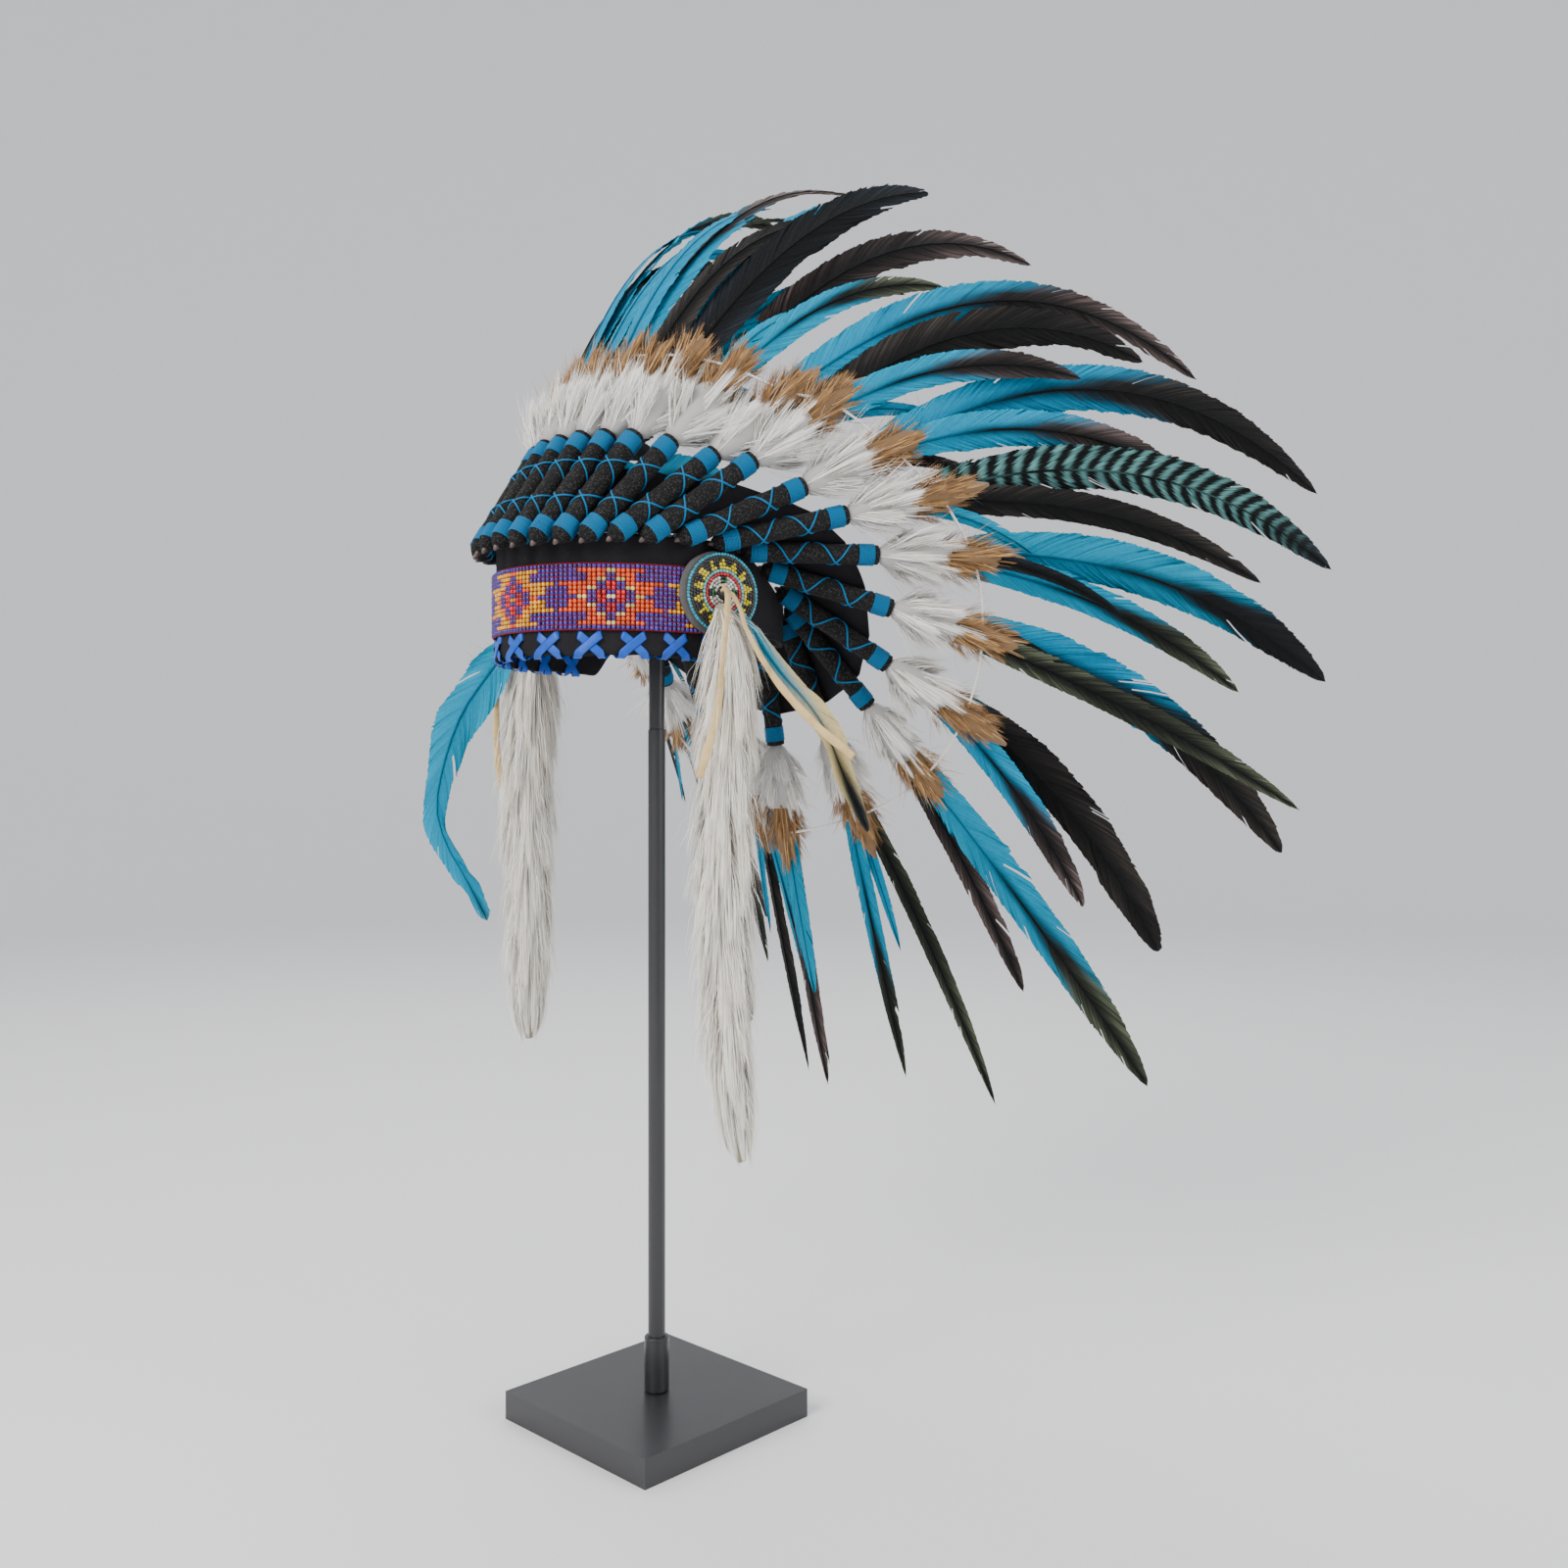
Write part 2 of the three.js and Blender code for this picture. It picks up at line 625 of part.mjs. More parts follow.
function furTail(curve, share) {
  const last = TAIL_STATIONS.length - 1;
  const core = sweep(
    TAIL_STATIONS.map((width, i) => {
      const at = (i / last) * share;
      const { across, depth } = sectionAxes(curve.getTangentAt(at), new THREE.Vector3(1, 0, 0));
      return {
        centre: curve.getPointAt(at),
        across: across.multiplyScalar(TAIL_HALF_WIDTH * TAIL_CORE.wide * width),
        depth: depth.multiplyScalar(TAIL_HALF_WIDTH * TAIL_CORE.deep * width),
      };
    }),
    6,
  );
  const parts = [core];
  for (let row = 0; row < TAIL_LOCK_ROWS; row++)
    for (let k = 0; k < TAIL_LOCKS_A_ROW; k++) {
      const down = (row + k / TAIL_LOCKS_A_ROW) / TAIL_LOCK_ROWS;
      const at = share * (TAIL_LOCK_FROM + TAIL_LOCK_SPAN * down);
      const tangent = curve.getTangentAt(at);
      const { across, depth } = sectionAxes(tangent, new THREE.Vector3(1, 0, 0));
      const turn = (2 * Math.PI * (k + 0.5 * (row % 2))) / TAIL_LOCKS_A_ROW + 0.4;
      const outward = across.multiplyScalar(Math.cos(turn)).addScaledVector(depth, Math.sin(turn));
      const root = curve.getPointAt(at).addScaledVector(outward, TAIL_HALF_WIDTH * TAIL_LOCK_SEAT);
      const along = tangent.clone().addScaledVector(outward, TAIL_LOCK_LEAN).normalize();
      const axes = sectionAxes(along, outward);
      parts.push(
        sweep(
          LOCK_TAPER.map((width, i) => ({
            centre: root.clone().addScaledVector(along, i * TAIL_LOCK * share),
            across: axes.across.clone().multiplyScalar(TAIL_LOCK_HALF.wide * width),
            depth: axes.depth.clone().multiplyScalar(TAIL_LOCK_HALF.deep * width),
          })),
          4,
        ),
      );
    }
  return fuse(parts);
}

function sideFeather(curve, side, width) {
  const steps = 12;
  const stations = [];
  for (let i = 0; i <= steps; i++) {
    const at = i / steps;
    const { across, depth } = sectionAxes(
      curve.getTangentAt(at),
      new THREE.Vector3(side * 0.4, -0.9, 0.1),
    );
    const share = Math.max(0.09, Math.sin(Math.PI * Math.min(1, 0.06 + at * 0.94)) ** 0.6);
    stations.push({
      centre: curve.getPointAt(at),
      across: across.multiplyScalar((width / 2) * share),
      depth: depth.multiplyScalar(VANE_THICKNESS / 2),
    });
  }
  return sweep(stations, 4);
}

function thong(curve) {
  const steps = Math.ceil(curve.getLength() / (2.4 * THONG_WIDTH));
  const section = new THREE.Shape();
  section.absellipse(0, 0, THONG_WIDTH / 4, THONG_WIDTH / 2, 0, 2 * Math.PI);
  return new THREE.ExtrudeGeometry(section, {
    steps,
    curveSegments: 4,
    extrudePath: curve,
  });
}

// Stand
const base = addMesh(
  "stand_base",
  new THREE.BoxGeometry(BASE_SIDE, BASE_SIDE, BASE_HEIGHT),
  FINISHES.blackMetal,
);
base.position.z = BASE_HEIGHT / 2;

const poleFoot = BASE_HEIGHT + SEAT_GAP;
const pole = new THREE.LatheGeometry(
  [
    [0, poleFoot],
    [COLLAR_DIAMETER / 2, poleFoot],
    [COLLAR_DIAMETER / 2, poleFoot + COLLAR_HEIGHT],
    [TUBE_DIAMETER / 2, poleFoot + COLLAR_HEIGHT],
    [TUBE_DIAMETER / 2, TUBE_TOP],
    [ROD_DIAMETER / 2, TUBE_TOP],
    [ROD_DIAMETER / 2, CROSS_TOP - 1],
    [0, CROSS_TOP - 1],
  ].map(([radius, height]) => new THREE.Vector2(radius, height)),
  20,
).rotateX(Math.PI / 2);
// Half of an arm, so that its corners clear the band's inside at this distance off the axis.
const armReach = (long, wide, offAxis) =>
  long * Math.sqrt(1 - (offAxis / wide) ** 2) - BAND_THICKNESS - SEAT_GAP;
const crossMiddle = CROSS_TOP - CROSS_HEIGHT / 2;
const armAcross = new THREE.BoxGeometry(
  2 * armReach(LOOP_SIDE, LOOP_FRONT, Math.abs(LOOP_CENTRE_Y) + CROSS_WIDTH / 2),
  CROSS_WIDTH,
  CROSS_HEIGHT,
).translate(0, 0, crossMiddle);
const armAlong = new THREE.BoxGeometry(
  CROSS_WIDTH,
  2 * armReach(LOOP_FRONT, LOOP_SIDE, CROSS_WIDTH / 2),
  CROSS_HEIGHT,
).translate(0, LOOP_CENTRE_Y, crossMiddle);
addMesh("stand_pole", fuse([pole, armAcross, armAlong]), FINISHES.blackMetal);

// Band and what is on it
addMesh("brow_band", browBand(), FINISHES.blackSuede);
addMesh("roll_backing", rollBacking(), FINISHES.blackSuede);
addMesh(
  "bead_strip",
  layOnLoop(2 * ROSETTE_ARC, BEAD_STRIP_HEIGHT, BEAD_STRIP_THICKNESS, 40, BEAD_STRIP_LOW, SEAT_GAP),
  FINISHES.beads,
);

const rosettes = {};
for (const [hand, side] of [["left", 1], ["right", -1]]) {
  const { point, outward } = loop.at(side * ROSETTE_ARC);
  const turned = outward.clone().applyAxisAngle(UP, -side * rad(ROSETTE_TURN));
  const lean = Math.tan(rad(ROSETTE_TURN)) * (BACKING_DIAMETER / 2);
  const seat = point
    .clone()
    .addScaledVector(outward, BEAD_STRIP_THICKNESS + 2 * SEAT_GAP + lean * 0.45)
    .setZ(ROSETTE_HEIGHT);
  const mount = new THREE.Group();
  mount.up.copy(UP);
  mount.position.copy(seat);
  mount.lookAt(seat.clone().add(turned));
  headdress.add(mount);
  const backing = addMesh(
    "rosette_backing_" + hand,
    new THREE.CylinderGeometry(
      BACKING_DIAMETER / 2, BACKING_DIAMETER / 2, BACKING_THICKNESS, 20,
    ).rotateX(Math.PI / 2),
    FINISHES.leather,
  );
  backing.position.set(-side * BACKING_FORWARD, BACKING_UP, BACKING_THICKNESS / 2);
  const radius = ROSETTE_DIAMETER / 2;
  const disc = addMesh(
    "rosette_" + hand,
    new THREE.LatheGeometry(
      [
        [0, 0],
        [radius, 0],
        [radius, ROSETTE_THICKNESS - ROSETTE_DOME],
        [radius * 0.55, ROSETTE_THICKNESS - ROSETTE_DOME * 0.25],
        [0, ROSETTE_THICKNESS],
      ].map(([r, height]) => new THREE.Vector2(r, height)),
      24,
    ).rotateX(Math.PI / 2),
    FINISHES.rosetteBeads,
  );
  disc.position.z = BACKING_THICKNESS + SEAT_GAP;
  mount.add(backing, disc);
  rosettes[hand] = {
    side,
    face: seat
      .clone()
      .addScaledVector(turned, BACKING_THICKNESS + SEAT_GAP + ROSETTE_THICKNESS),
    out: turned,
    back: new THREE.Vector3().crossVectors(UP, turned).multiplyScalar(side),
  };
}

// Rolls and plumes
const alongZ = new THREE.Vector3(0, 1, 0);
rolls.forEach((roll, i) => {
  const mesh = addMesh(
    "roll_" + String(i + 1).padStart(2, "0"),
    rollBody(),
    FINISHES.rollCloth,
  );
  mesh.position.copy(roll.root);
  mesh.quaternion.setFromUnitVectors(alongZ, roll.along);
});
for (let first = 0; first < ROLL_COUNT; first += 2)
  addMesh(
    "plume_pair_" + String(first / 2 + 1).padStart(2, "0"),
    plumePair(first),
    FINISHES.feather,
  );

// What hangs at the rosettes
const rosetteOf = (name) => rosettes[name.includes("left") ? "left" : "right"];
for (const [name, share] of [["fur_tail_left", 1], ["fur_tail_right", RIGHT_TAIL_SHARE]])
  addMesh(name, furTail(curveFrom(rosetteOf(name), TAIL_ROUTE), share), FINISHES.fur);
for (const [name, { width, route }] of Object.entries(SIDE_FEATHERS)) {
  const rosette = rosetteOf(name);
  addMesh(name, sideFeather(curveFrom(rosette, route), rosette.side, width), FINISHES.feather);
}
for (const [name, route] of Object.entries(THONG_ROUTES))
  addMesh(name, thong(curveFrom(rosetteOf(name), route)), FINISHES.thong);

export default headdress;
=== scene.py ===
"""Surfaces, beadwork, fur and feathers of a headdress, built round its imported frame.

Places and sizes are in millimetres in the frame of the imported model, until a mesh is made,
which is in metres. The headdress faces -Y, and the wearer's left is +X.
"""

import logging
import math
from dataclasses import dataclass, field
from enum import Enum
from itertools import product

import bpy
import numpy as np
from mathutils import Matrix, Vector


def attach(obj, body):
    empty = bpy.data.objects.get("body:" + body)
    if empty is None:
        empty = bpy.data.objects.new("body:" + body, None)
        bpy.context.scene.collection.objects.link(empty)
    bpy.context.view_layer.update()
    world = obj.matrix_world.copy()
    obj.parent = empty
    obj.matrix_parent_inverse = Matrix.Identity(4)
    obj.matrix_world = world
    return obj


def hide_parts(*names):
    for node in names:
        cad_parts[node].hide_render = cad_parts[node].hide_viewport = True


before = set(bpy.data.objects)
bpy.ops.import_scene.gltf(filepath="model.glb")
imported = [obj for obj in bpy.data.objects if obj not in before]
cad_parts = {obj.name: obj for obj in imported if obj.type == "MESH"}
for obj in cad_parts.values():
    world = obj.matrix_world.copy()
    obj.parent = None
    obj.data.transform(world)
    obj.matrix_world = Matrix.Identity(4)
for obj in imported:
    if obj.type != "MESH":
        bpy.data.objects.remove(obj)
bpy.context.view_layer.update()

LOG = logging.getLogger("headdress")
MM = 0.001
TURN = 2 * math.pi
UP = np.array([0.0, 0.0, 1.0])
HAIR_POINTS = 5
Array = np.ndarray
Colour = tuple[float, float, float]
Shape = tuple[Array, list[Array]]


def unit(vectors: Array) -> Array:
    """Scale a vector, or one a row, to a length of one."""
    return vectors / np.maximum(np.linalg.norm(vectors, axis=-1, keepdims=True), 1e-9)


def screen_colour(*values: int) -> Colour:
    """Turn red, green and blue as a screen shows them, 0 to 255, into a shader's linear values."""
    parts = [value / 255 for value in values]
    return tuple(p / 12.92 if p <= 0.04045 else ((p + 0.055) / 1.055) ** 2.4 for p in parts)


def scaled(colour: Colour, amount: float) -> Colour:
    """Make a colour brighter or darker."""
    return tuple(min(1.0, part * amount) for part in colour)


def smooth(value: Array, low: float, high: float) -> Array:
    """Rise smoothly from 0 at low to 1 at high."""
    share = np.clip((np.asarray(value, float) - low) / (high - low), 0, 1)
    return share * share * (3 - 2 * share)


def circle(sides: int) -> Array:
    """Give even angles once round."""
    return np.linspace(0, TURN, sides, endpoint=False)


def spokes(turn: Array, first: Array, second: Array) -> Array:
    """Give the direction at each angle from a first direction to a second."""
    return np.cos(turn)[:, None] * first + np.sin(turn)[:, None] * second


def nearest_turn(angle: Array) -> Array:
    """Bring angles to within half a turn of zero."""
    return (angle + np.pi) % TURN - np.pi


def grain(along: Array, across: "Array | float", tone: "Array | float") -> Array:
    """Join the three parts of a mesh's grain, one row a point."""
    return np.stack(np.broadcast_arrays(along, across, tone), -1).reshape(-1, 3)


class Term:
    """A number that varies over a surface, with shader arithmetic on it."""

    def __init__(self, graph: "Graph", socket: bpy.types.NodeSocket) -> None:
        """Wrap an output socket of a graph."""
        self.graph = graph
        self.socket = socket

    def _math(self, operation: str, first: "Term | float", second: "Term | float") -> "Term":
        """Work out two values with a Math node."""
        return self.graph.node("ShaderNodeMath", {0: first, 1: second}, operation=operation)[0]

    def __add__(self, other: "Term | float") -> "Term":
        """Add a value."""
        return self._math("ADD", self, other)

    def __radd__(self, other: float) -> "Term":
        """Add to a number."""
        return self._math("ADD", other, self)

    def __sub__(self, other: "Term | float") -> "Term":
        """Take a value away."""
        return self._math("SUBTRACT", self, other)

    def __rsub__(self, other: float) -> "Term":
        """Take this away from a number."""
        return self._math("SUBTRACT", other, self)

    def __mul__(self, other: "Term | float") -> "Term":
        """Multiply by a value."""
        return self._math("MULTIPLY", self, other)

    def __rmul__(self, other: float) -> "Term":
        """Multiply a number by this."""
        return self._math("MULTIPLY", other, self)

    def above(self, limit: float) -> "Term":
        """Give 1 where this is over a limit, and 0 elsewhere."""
        return self._math("GREATER_THAN", self, limit)

    def wave(self) -> "Term":
        """Give the sine of this."""
        return self._math("SINE", self, 0.0)


class Graph:
    """The node tree of one material, round its main shader."""

    def __init__(self, name: str) -> None:
        """Start a material's tree.

        Args:
            name: The material's name.
        """
        self.material = bpy.data.materials.new(name)
        self.material.use_nodes = True
        self.tree = self.material.node_tree
        self.shader = self.tree.nodes["Principled BSDF"]

    def node(self, kind: str, sockets: dict, **settings: str) -> list[Term]:
        """Add a node.

        Args:
            kind: The node's type.
            sockets: Values or links by socket name or number.
            **settings: The node's own settings, such as an operation.

        Returns:
            The node's outputs.
        """
        node = self.tree.nodes.new(kind)
        for key, value in settings.items():
            setattr(node, key, value)
        for key, value in sockets.items():
            self._fill(node.inputs[key], value)
        return [Term(self, socket) for socket in node.outputs]

    def _fill(self, socket: bpy.types.NodeSocket, value: "Term | float | tuple") -> None:
        """Link a term to a socket, or set its number.

        Args:
            socket: The socket.
            value: A term, a number, or a colour with three parts.
        """
        if isinstance(value, Term):
            self.tree.links.new(value.socket, socket)
        elif isinstance(value, tuple) and socket.type == "RGBA":
            socket.default_value = (*value, 1)
        else:
            socket.default_value = value

    def set(self, **sockets: "Term | float | tuple") -> None:
        """Fill the main shader's sockets, with spaces in their names written as _."""
        for key, value in sockets.items():
            self._fill(self.shader.inputs[key.replace("_", " ")], value)

    def noise(self, scale: float, detail: float, spread: float = 0.0) -> Term:
        """Add a noise about 0.5: features to a metre, finer layers of it, and distortion."""
        sockets = {"Vector": self.node("ShaderNodeTexCoord", {})[3], "Scale": scale, "Detail": detail}
        return self.node("ShaderNodeTexNoise", {**sockets, "Distortion": spread})[0]

    def grain(self) -> list[Term]:
        """Give the mesh's own grain: along, across and tone."""
        made = self.node("ShaderNodeAttribute", {}, attribute_name="grain")
        return self.node("ShaderNodeSeparateXYZ", {0: made[1]})

    def tint(self) -> Term:
        """Give the mesh's own colour."""
        return self.node("ShaderNodeAttribute", {}, attribute_name="tint")[0]

    def mix(self, share: "Term | float", first: "Term | Colour", second: "Term | Colour") -> Term:
        """Mix two colours by the share of the second."""
        return self.node("ShaderNodeMix", {0: share, 6: first, 7: second}, data_type="RGBA")[2]

    def shade(self, colour: "Term | Colour", amount: "Term | float") -> Term:
        """Multiply a colour by how bright it stays."""
        return self.node("ShaderNodeVectorMath", {0: colour, "Scale": amount}, operation="SCALE")[0]

    def bump(self, height: Term, depth_mm: float, strength: float = 1.0) -> None:
        """Raise the surface by a height, which is as deep as said where it is one."""
        sockets = {"Height": height, "Distance": depth_mm * MM, "Strength": strength}
        self.set(Normal=self.node("ShaderNodeBump", sockets)[0])


@dataclass(frozen=True)
class Finish:
    """A finish that a piece's material is made from."""

    name: str

    def material(self) -> bpy.types.Material:
        """Make the material, once.

        Returns:
            The material.
        """
        known = bpy.data.materials.get(self.name)
        if known:
            return known
        graph = Graph(self.name)
        self.dress(graph)
        return graph.material

    def dress(self, graph: Graph) -> None:
        """Fill the graph, in each kind of finish."""
        raise NotImplementedError


@dataclass(frozen=True)
class Paint(Finish):
    """Satin paint on metal, with faint handling marks."""

    colour: Colour = (0.012, 0.012, 0.014)
    worn: float = 1.7
    roughness: float = 0.3

    def dress(self, graph: Graph) -> None:
        """Fill the graph."""
        smear = graph.noise(9.0, 4.0, 0.6)
        graph.set(
            Base_Color=graph.mix(smear, self.colour, scaled(self.colour, self.worn)),
            Roughness=self.roughness + 0.16 * smear,
            Coat_Weight=0.25,
            Coat_Roughness=0.2,
        )
        graph.bump(graph.noise(900.0, 2.0), 0.04, 0.35)


@dataclass(frozen=True)
class Suede(Finish):
    """Napped leather: soft blotches where the nap lies another way."""

    colour: Colour = (0.007, 0.0066, 0.008)
    light: float = 2.2
    nap_mm: float = 0.35

    def dress(self, graph: Graph) -> None:
        """Fill the graph."""
        blotch = graph.noise(42.0, 5.0, 1.2)
        nap = graph.noise(1500.0, 3.0)
        blotched = graph.mix(blotch, self.colour, scaled(self.colour, self.light))
        graph.set(
            Base_Color=graph.shade(blotched, 0.6 + 0.8 * nap),
            Roughness=0.95 - 0.1 * blotch,
            Specular_IOR_Level=0.2,
        )
        graph.bump(0.7 * nap + 0.6 * blotch, self.nap_mm)


@dataclass(frozen=True)
class Smooth(Finish):
    """Smooth leather lace, or a quill: fine pores, darker in random blotches."""

    colour: Colour = (0.76, 0.55, 0.26)
    dark: Colour = (0.45, 0.29, 0.11)
    roughness: float = 0.45

    def dress(self, graph: Graph) -> None:
        """Fill the graph."""
        stain = graph.noise(110.0, 4.0, 0.8)
        graph.set(
            Base_Color=graph.mix(stain * stain * 1.5, self.colour, self.dark),
            Roughness=self.roughness + 0.25 * stain,
        )
        graph.bump(graph.noise(2600.0, 2.0) + stain, 0.12, 0.6)


@dataclass(frozen=True)
class Weave(Finish):
    """Coarse woven cloth, painted lighter on the raised checks of its weave, with pale flecks there as
    painted glints. The grain runs round and along, in millimetres.
    """

    colour: Colour = (0.0045, 0.0045, 0.005)
    # The colour of the painted glints on the raised checks of the weave.
    fleck: Colour = (0.12, 0.115, 0.11)
    pitch_mm: float = 1.05

    def dress(self, graph: Graph) -> None:
        """Fill the graph."""
        warp, weft = ((way * (TURN / self.pitch_mm)).wave() for way in graph.grain()[:2])
        thread = warp * weft
        # Painted glints: pale flecks only where the weave is raised, which is also painted lighter below.
        fleck = (graph.noise(900.0, 1.0) - 0.56).above(0.0) * thread.above(0.35)
        graph.set(
            Base_Color=graph.mix(fleck * 0.75, graph.shade(self.colour, 1.0 + 0.7 * thread), self.fleck),
            Roughness=0.85 - 0.1 * thread,
            Specular_IOR_Level=0.25,
        )
        graph.bump(0.5 + 0.5 * thread, 0.3)


@dataclass(frozen=True)
class Thread(Finish):
    """Twisted thread, wound or laid. The grain's first part runs along it, in millimetres. Its colour
    holds painted light and shade: lighter on the ply's crests, and darker where the tone is low, which on
    wound thread is the groove between turns.
    """

    colour: Colour = screen_colour(0, 124, 180)
    twist_mm: float = 0.8

    def dress(self, graph: Graph) -> None:
        """Fill the graph."""
        along, across, tone = graph.grain()
        ply = (along * (TURN / self.twist_mm) + across * 2.0).wave()
        # Painted highlight and shade: lighter on the ply's crests, and down to a quarter of the colour
        # where the tone is low.
        graph.set(
            Base_Color=graph.mix(0.1 + 0.2 * ply + 0.75 * tone, scaled(self.colour, 0.25), self.colour),
            Roughness=0.62 - 0.12 * ply,
            Specular_IOR_Level=0.25,
        )
        graph.bump(ply, 0.12)


@dataclass(frozen=True)
class Satin(Finish):
    """Satin ribbon: a bright, finely ribbed face, with painted sheen on its raised creases and painted
    shade in the sunk ones.
    """

    colour: Colour = screen_colour(0, 84, 196)
    rib_mm: float = 0.35

    def dress(self, graph: Graph) -> None:
        """Fill the graph."""
        _, across, tone = graph.grain()
        rib = (across * (TURN / self.rib_mm)).wave()
        crease = graph.noise(260.0, 3.0, 0.5)
        # Painted sheen and shade: lighter where the crease relief is raised, darker where it sinks.
        bright = 0.35 + 0.9 * crease * (0.6 + 0.4 * tone)
        graph.set(
            Base_Color=graph.mix(bright, scaled(self.colour, 0.35), self.colour),
            Roughness=0.24 + 0.2 * crease,
            Specular_IOR_Level=0.4,
        )
        graph.bump(0.3 * rib + 2.0 * crease, 0.1, 0.5)


@dataclass(frozen=True)
class Glass(Finish):
    """Small seed beads, each with its own colour, uneven in tone."""

    roughness: float = 0.13
    coat: float = 0.3

    def dress(self, graph: Graph) -> None:
        """Fill the graph."""
        _, _, tone = graph.grain()
        cloud = graph.noise(700.0, 2.0)
        graph.set(
            Base_Color=graph.shade(graph.tint(), 0.36 + 0.34 * tone + 0.24 * cloud),
            Roughness=self.roughness + 0.12 * tone,
            Coat_Weight=self.coat,
            Coat_Roughness=0.06,
        )
        graph.bump(cloud, 0.05, 0.5)


@dataclass(frozen=True)
class Hair(Finish):
    """Fur, with painted shade that darkens it towards the root. The grain runs from root to tip, with a
    tone a hair.
    """

    roughness: float = 0.62
    sheen: float = 0.25

    def dress(self, graph: Graph) -> None:
        """Fill the graph."""
        along, _, tone = graph.grain()
        patch = graph.noise(70.0, 3.0)
        # Painted shade: darker towards the root, where along is low.
        graph.set(
            Base_Color=graph.shade(graph.tint(), 0.66 + 0.2 * along + 0.2 * tone + 0.14 * patch),
            Roughness=self.roughness + 0.15 * tone,
            Sheen_Weight=self.sheen,
            Sheen_Roughness=0.4,
        )
        graph.bump(patch, 0.2, 0.3)


@dataclass(frozen=True)
class Barbs(Finish):
    """A feather's vane: silky barbs with a cold gleam where they are dark."""

    gleam: Colour = (0.8, 0.9, 0.86)
    shine: float = 0.12
    roughness: float = 0.58

    def dress(self, graph: Graph) -> None:
        """Fill the graph."""
        along, across, tone = graph.grain()
        streak = graph.noise(420.0, 3.0, 0.4)
        fine = (across * (TURN * 0.5) + along * 0.6).wave()
        graph.set(
            Base_Color=graph.shade(graph.tint(), 0.72 + 0.16 * tone + 0.36 * streak + 0.07 * fine),
            Roughness=self.roughness + 0.25 * streak - 0.08 * tone,
            Specular_Tint=self.gleam,
            Specular_IOR_Level=self.shine,
        )
        graph.bump(0.6 * fine + streak, 0.14, 0.7)


@dataclass(frozen=True)
class Ground(Finish):
    """The plain pale floor."""

    colour: Colour = (0.84, 0.84, 0.85)

    def dress(self, graph: Graph) -> None:
        """Fill the graph."""
        graph.set(Base_Color=self.colour, Roughness=0.75)


def link(name: str, data: bpy.types.ID) -> bpy.types.Object:
    """Put an object into the scene.

    Args:
        name: Its name.
        data: Its mesh, lamp or camera.

    Returns:
        The object.
    """
    made = bpy.data.objects.new(name, data)
    bpy.context.scene.collection.objects.link(made)
    return made


class Build:
    """A mesh that grows part by part, with a colour and a grain at each point, and random numbers."""

    def __init__(self, seed: "int | np.random.Generator" = 0) -> None:
        """Start with nothing.

        Args:
            seed: A seed, or another mesh's random numbers.
        """
        self.rng = np.random.default_rng(seed)
        self.points: list[Array] = []
        self.tints: list[Array] = []
        self.grains: list[Array] = []
        self.faces: list[tuple[Array, int]] = []
        self.count = 0

    def add(
        self,
        shape: Shape,
        tint: "Array | Colour" = (1.0, 1.0, 1.0),
        grain: "Array | Colour" = (0.0, 0.0, 0.5),
        material: int = 0,
    ) -> "Build":
        """Add a part.

        Args:
            shape: Its points in millimetres, and arrays of faces, one for each number of corners.
            tint: Its colour, or one a point.
            grain: Its grain, or one a point.
            material: Which of the piece's materials it has.

        Returns:
            This mesh.
        """
        points = np.asarray(shape[0], float).reshape(-1, 3)
        self.points.append(points)
        self.tints.append(np.broadcast_to(np.asarray(tint, float), points.shape))
        self.grains.append(np.broadcast_to(np.asarray(grain, float), points.shape))
        for part in shape[1]:
            if len(part):
                self.faces.append((np.asarray(part, np.int32) + self.count, material))
        self.count += len(points)
        return self

    def piece(self, name: str, finishes: list[Finish], slot: str, *nodes: str) -> bpy.types.Object:
        """Make the object, attach it to the root body, and hide the nodes that it stands for.

        Args:
            name: The piece's name.
            finishes: Its finishes, by the numbers that its parts gave.
            slot: The record's material slot; not used.
            *nodes: The nodes that it stands for.

        Returns:
            The object.
        """
        mesh = bpy.data.meshes.new(name)
        corners = np.concatenate([f.reshape(-1) for f, _ in self.faces])
        sizes = np.concatenate([np.full(len(f), f.shape[1]) for f, _ in self.faces])
        kinds = np.concatenate([np.full(len(f), m) for f, m in self.faces])
        starts = np.concatenate([[0], np.cumsum(sizes)[:-1]])
        mesh.vertices.add(self.count)
        mesh.loops.add(len(corners))
        mesh.polygons.add(len(sizes))
        mesh.vertices.foreach_set("co", (np.concatenate(self.points) * MM).astype(np.float32).reshape(-1))
        mesh.loops.foreach_set("vertex_index", corners.astype(np.int32))
        mesh.polygons.foreach_set("loop_start", starts.astype(np.int32))
        mesh.polygons.foreach_set("material_index", kinds.astype(np.int32))
        mesh.polygons.foreach_set("use_smooth", np.ones(len(sizes), bool))
        opaque = np.ones((self.count, 1))
        tints = np.hstack([np.concatenate(self.tints), opaque])
        for key, kind, part, values in (
            ("tint", "FLOAT_COLOR", "color", tints),
            ("grain", "FLOAT_VECTOR", "vector", np.concatenate(self.grains)),
        ):
            layer = mesh.attributes.new(key, kind, "POINT")
            layer.data.foreach_set(part, values.astype(np.float32).reshape(-1))
        mesh.update(calc_edges=True)
        mesh.validate()
        for finish in finishes:
            mesh.materials.append(finish.material())
        made = link(name, mesh)
        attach(made, "root")
        if nodes:
            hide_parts(*nodes)
        LOG.info("%s: %d triangles", name, len(mesh.loops) - 2 * len(mesh.polygons))
        return made


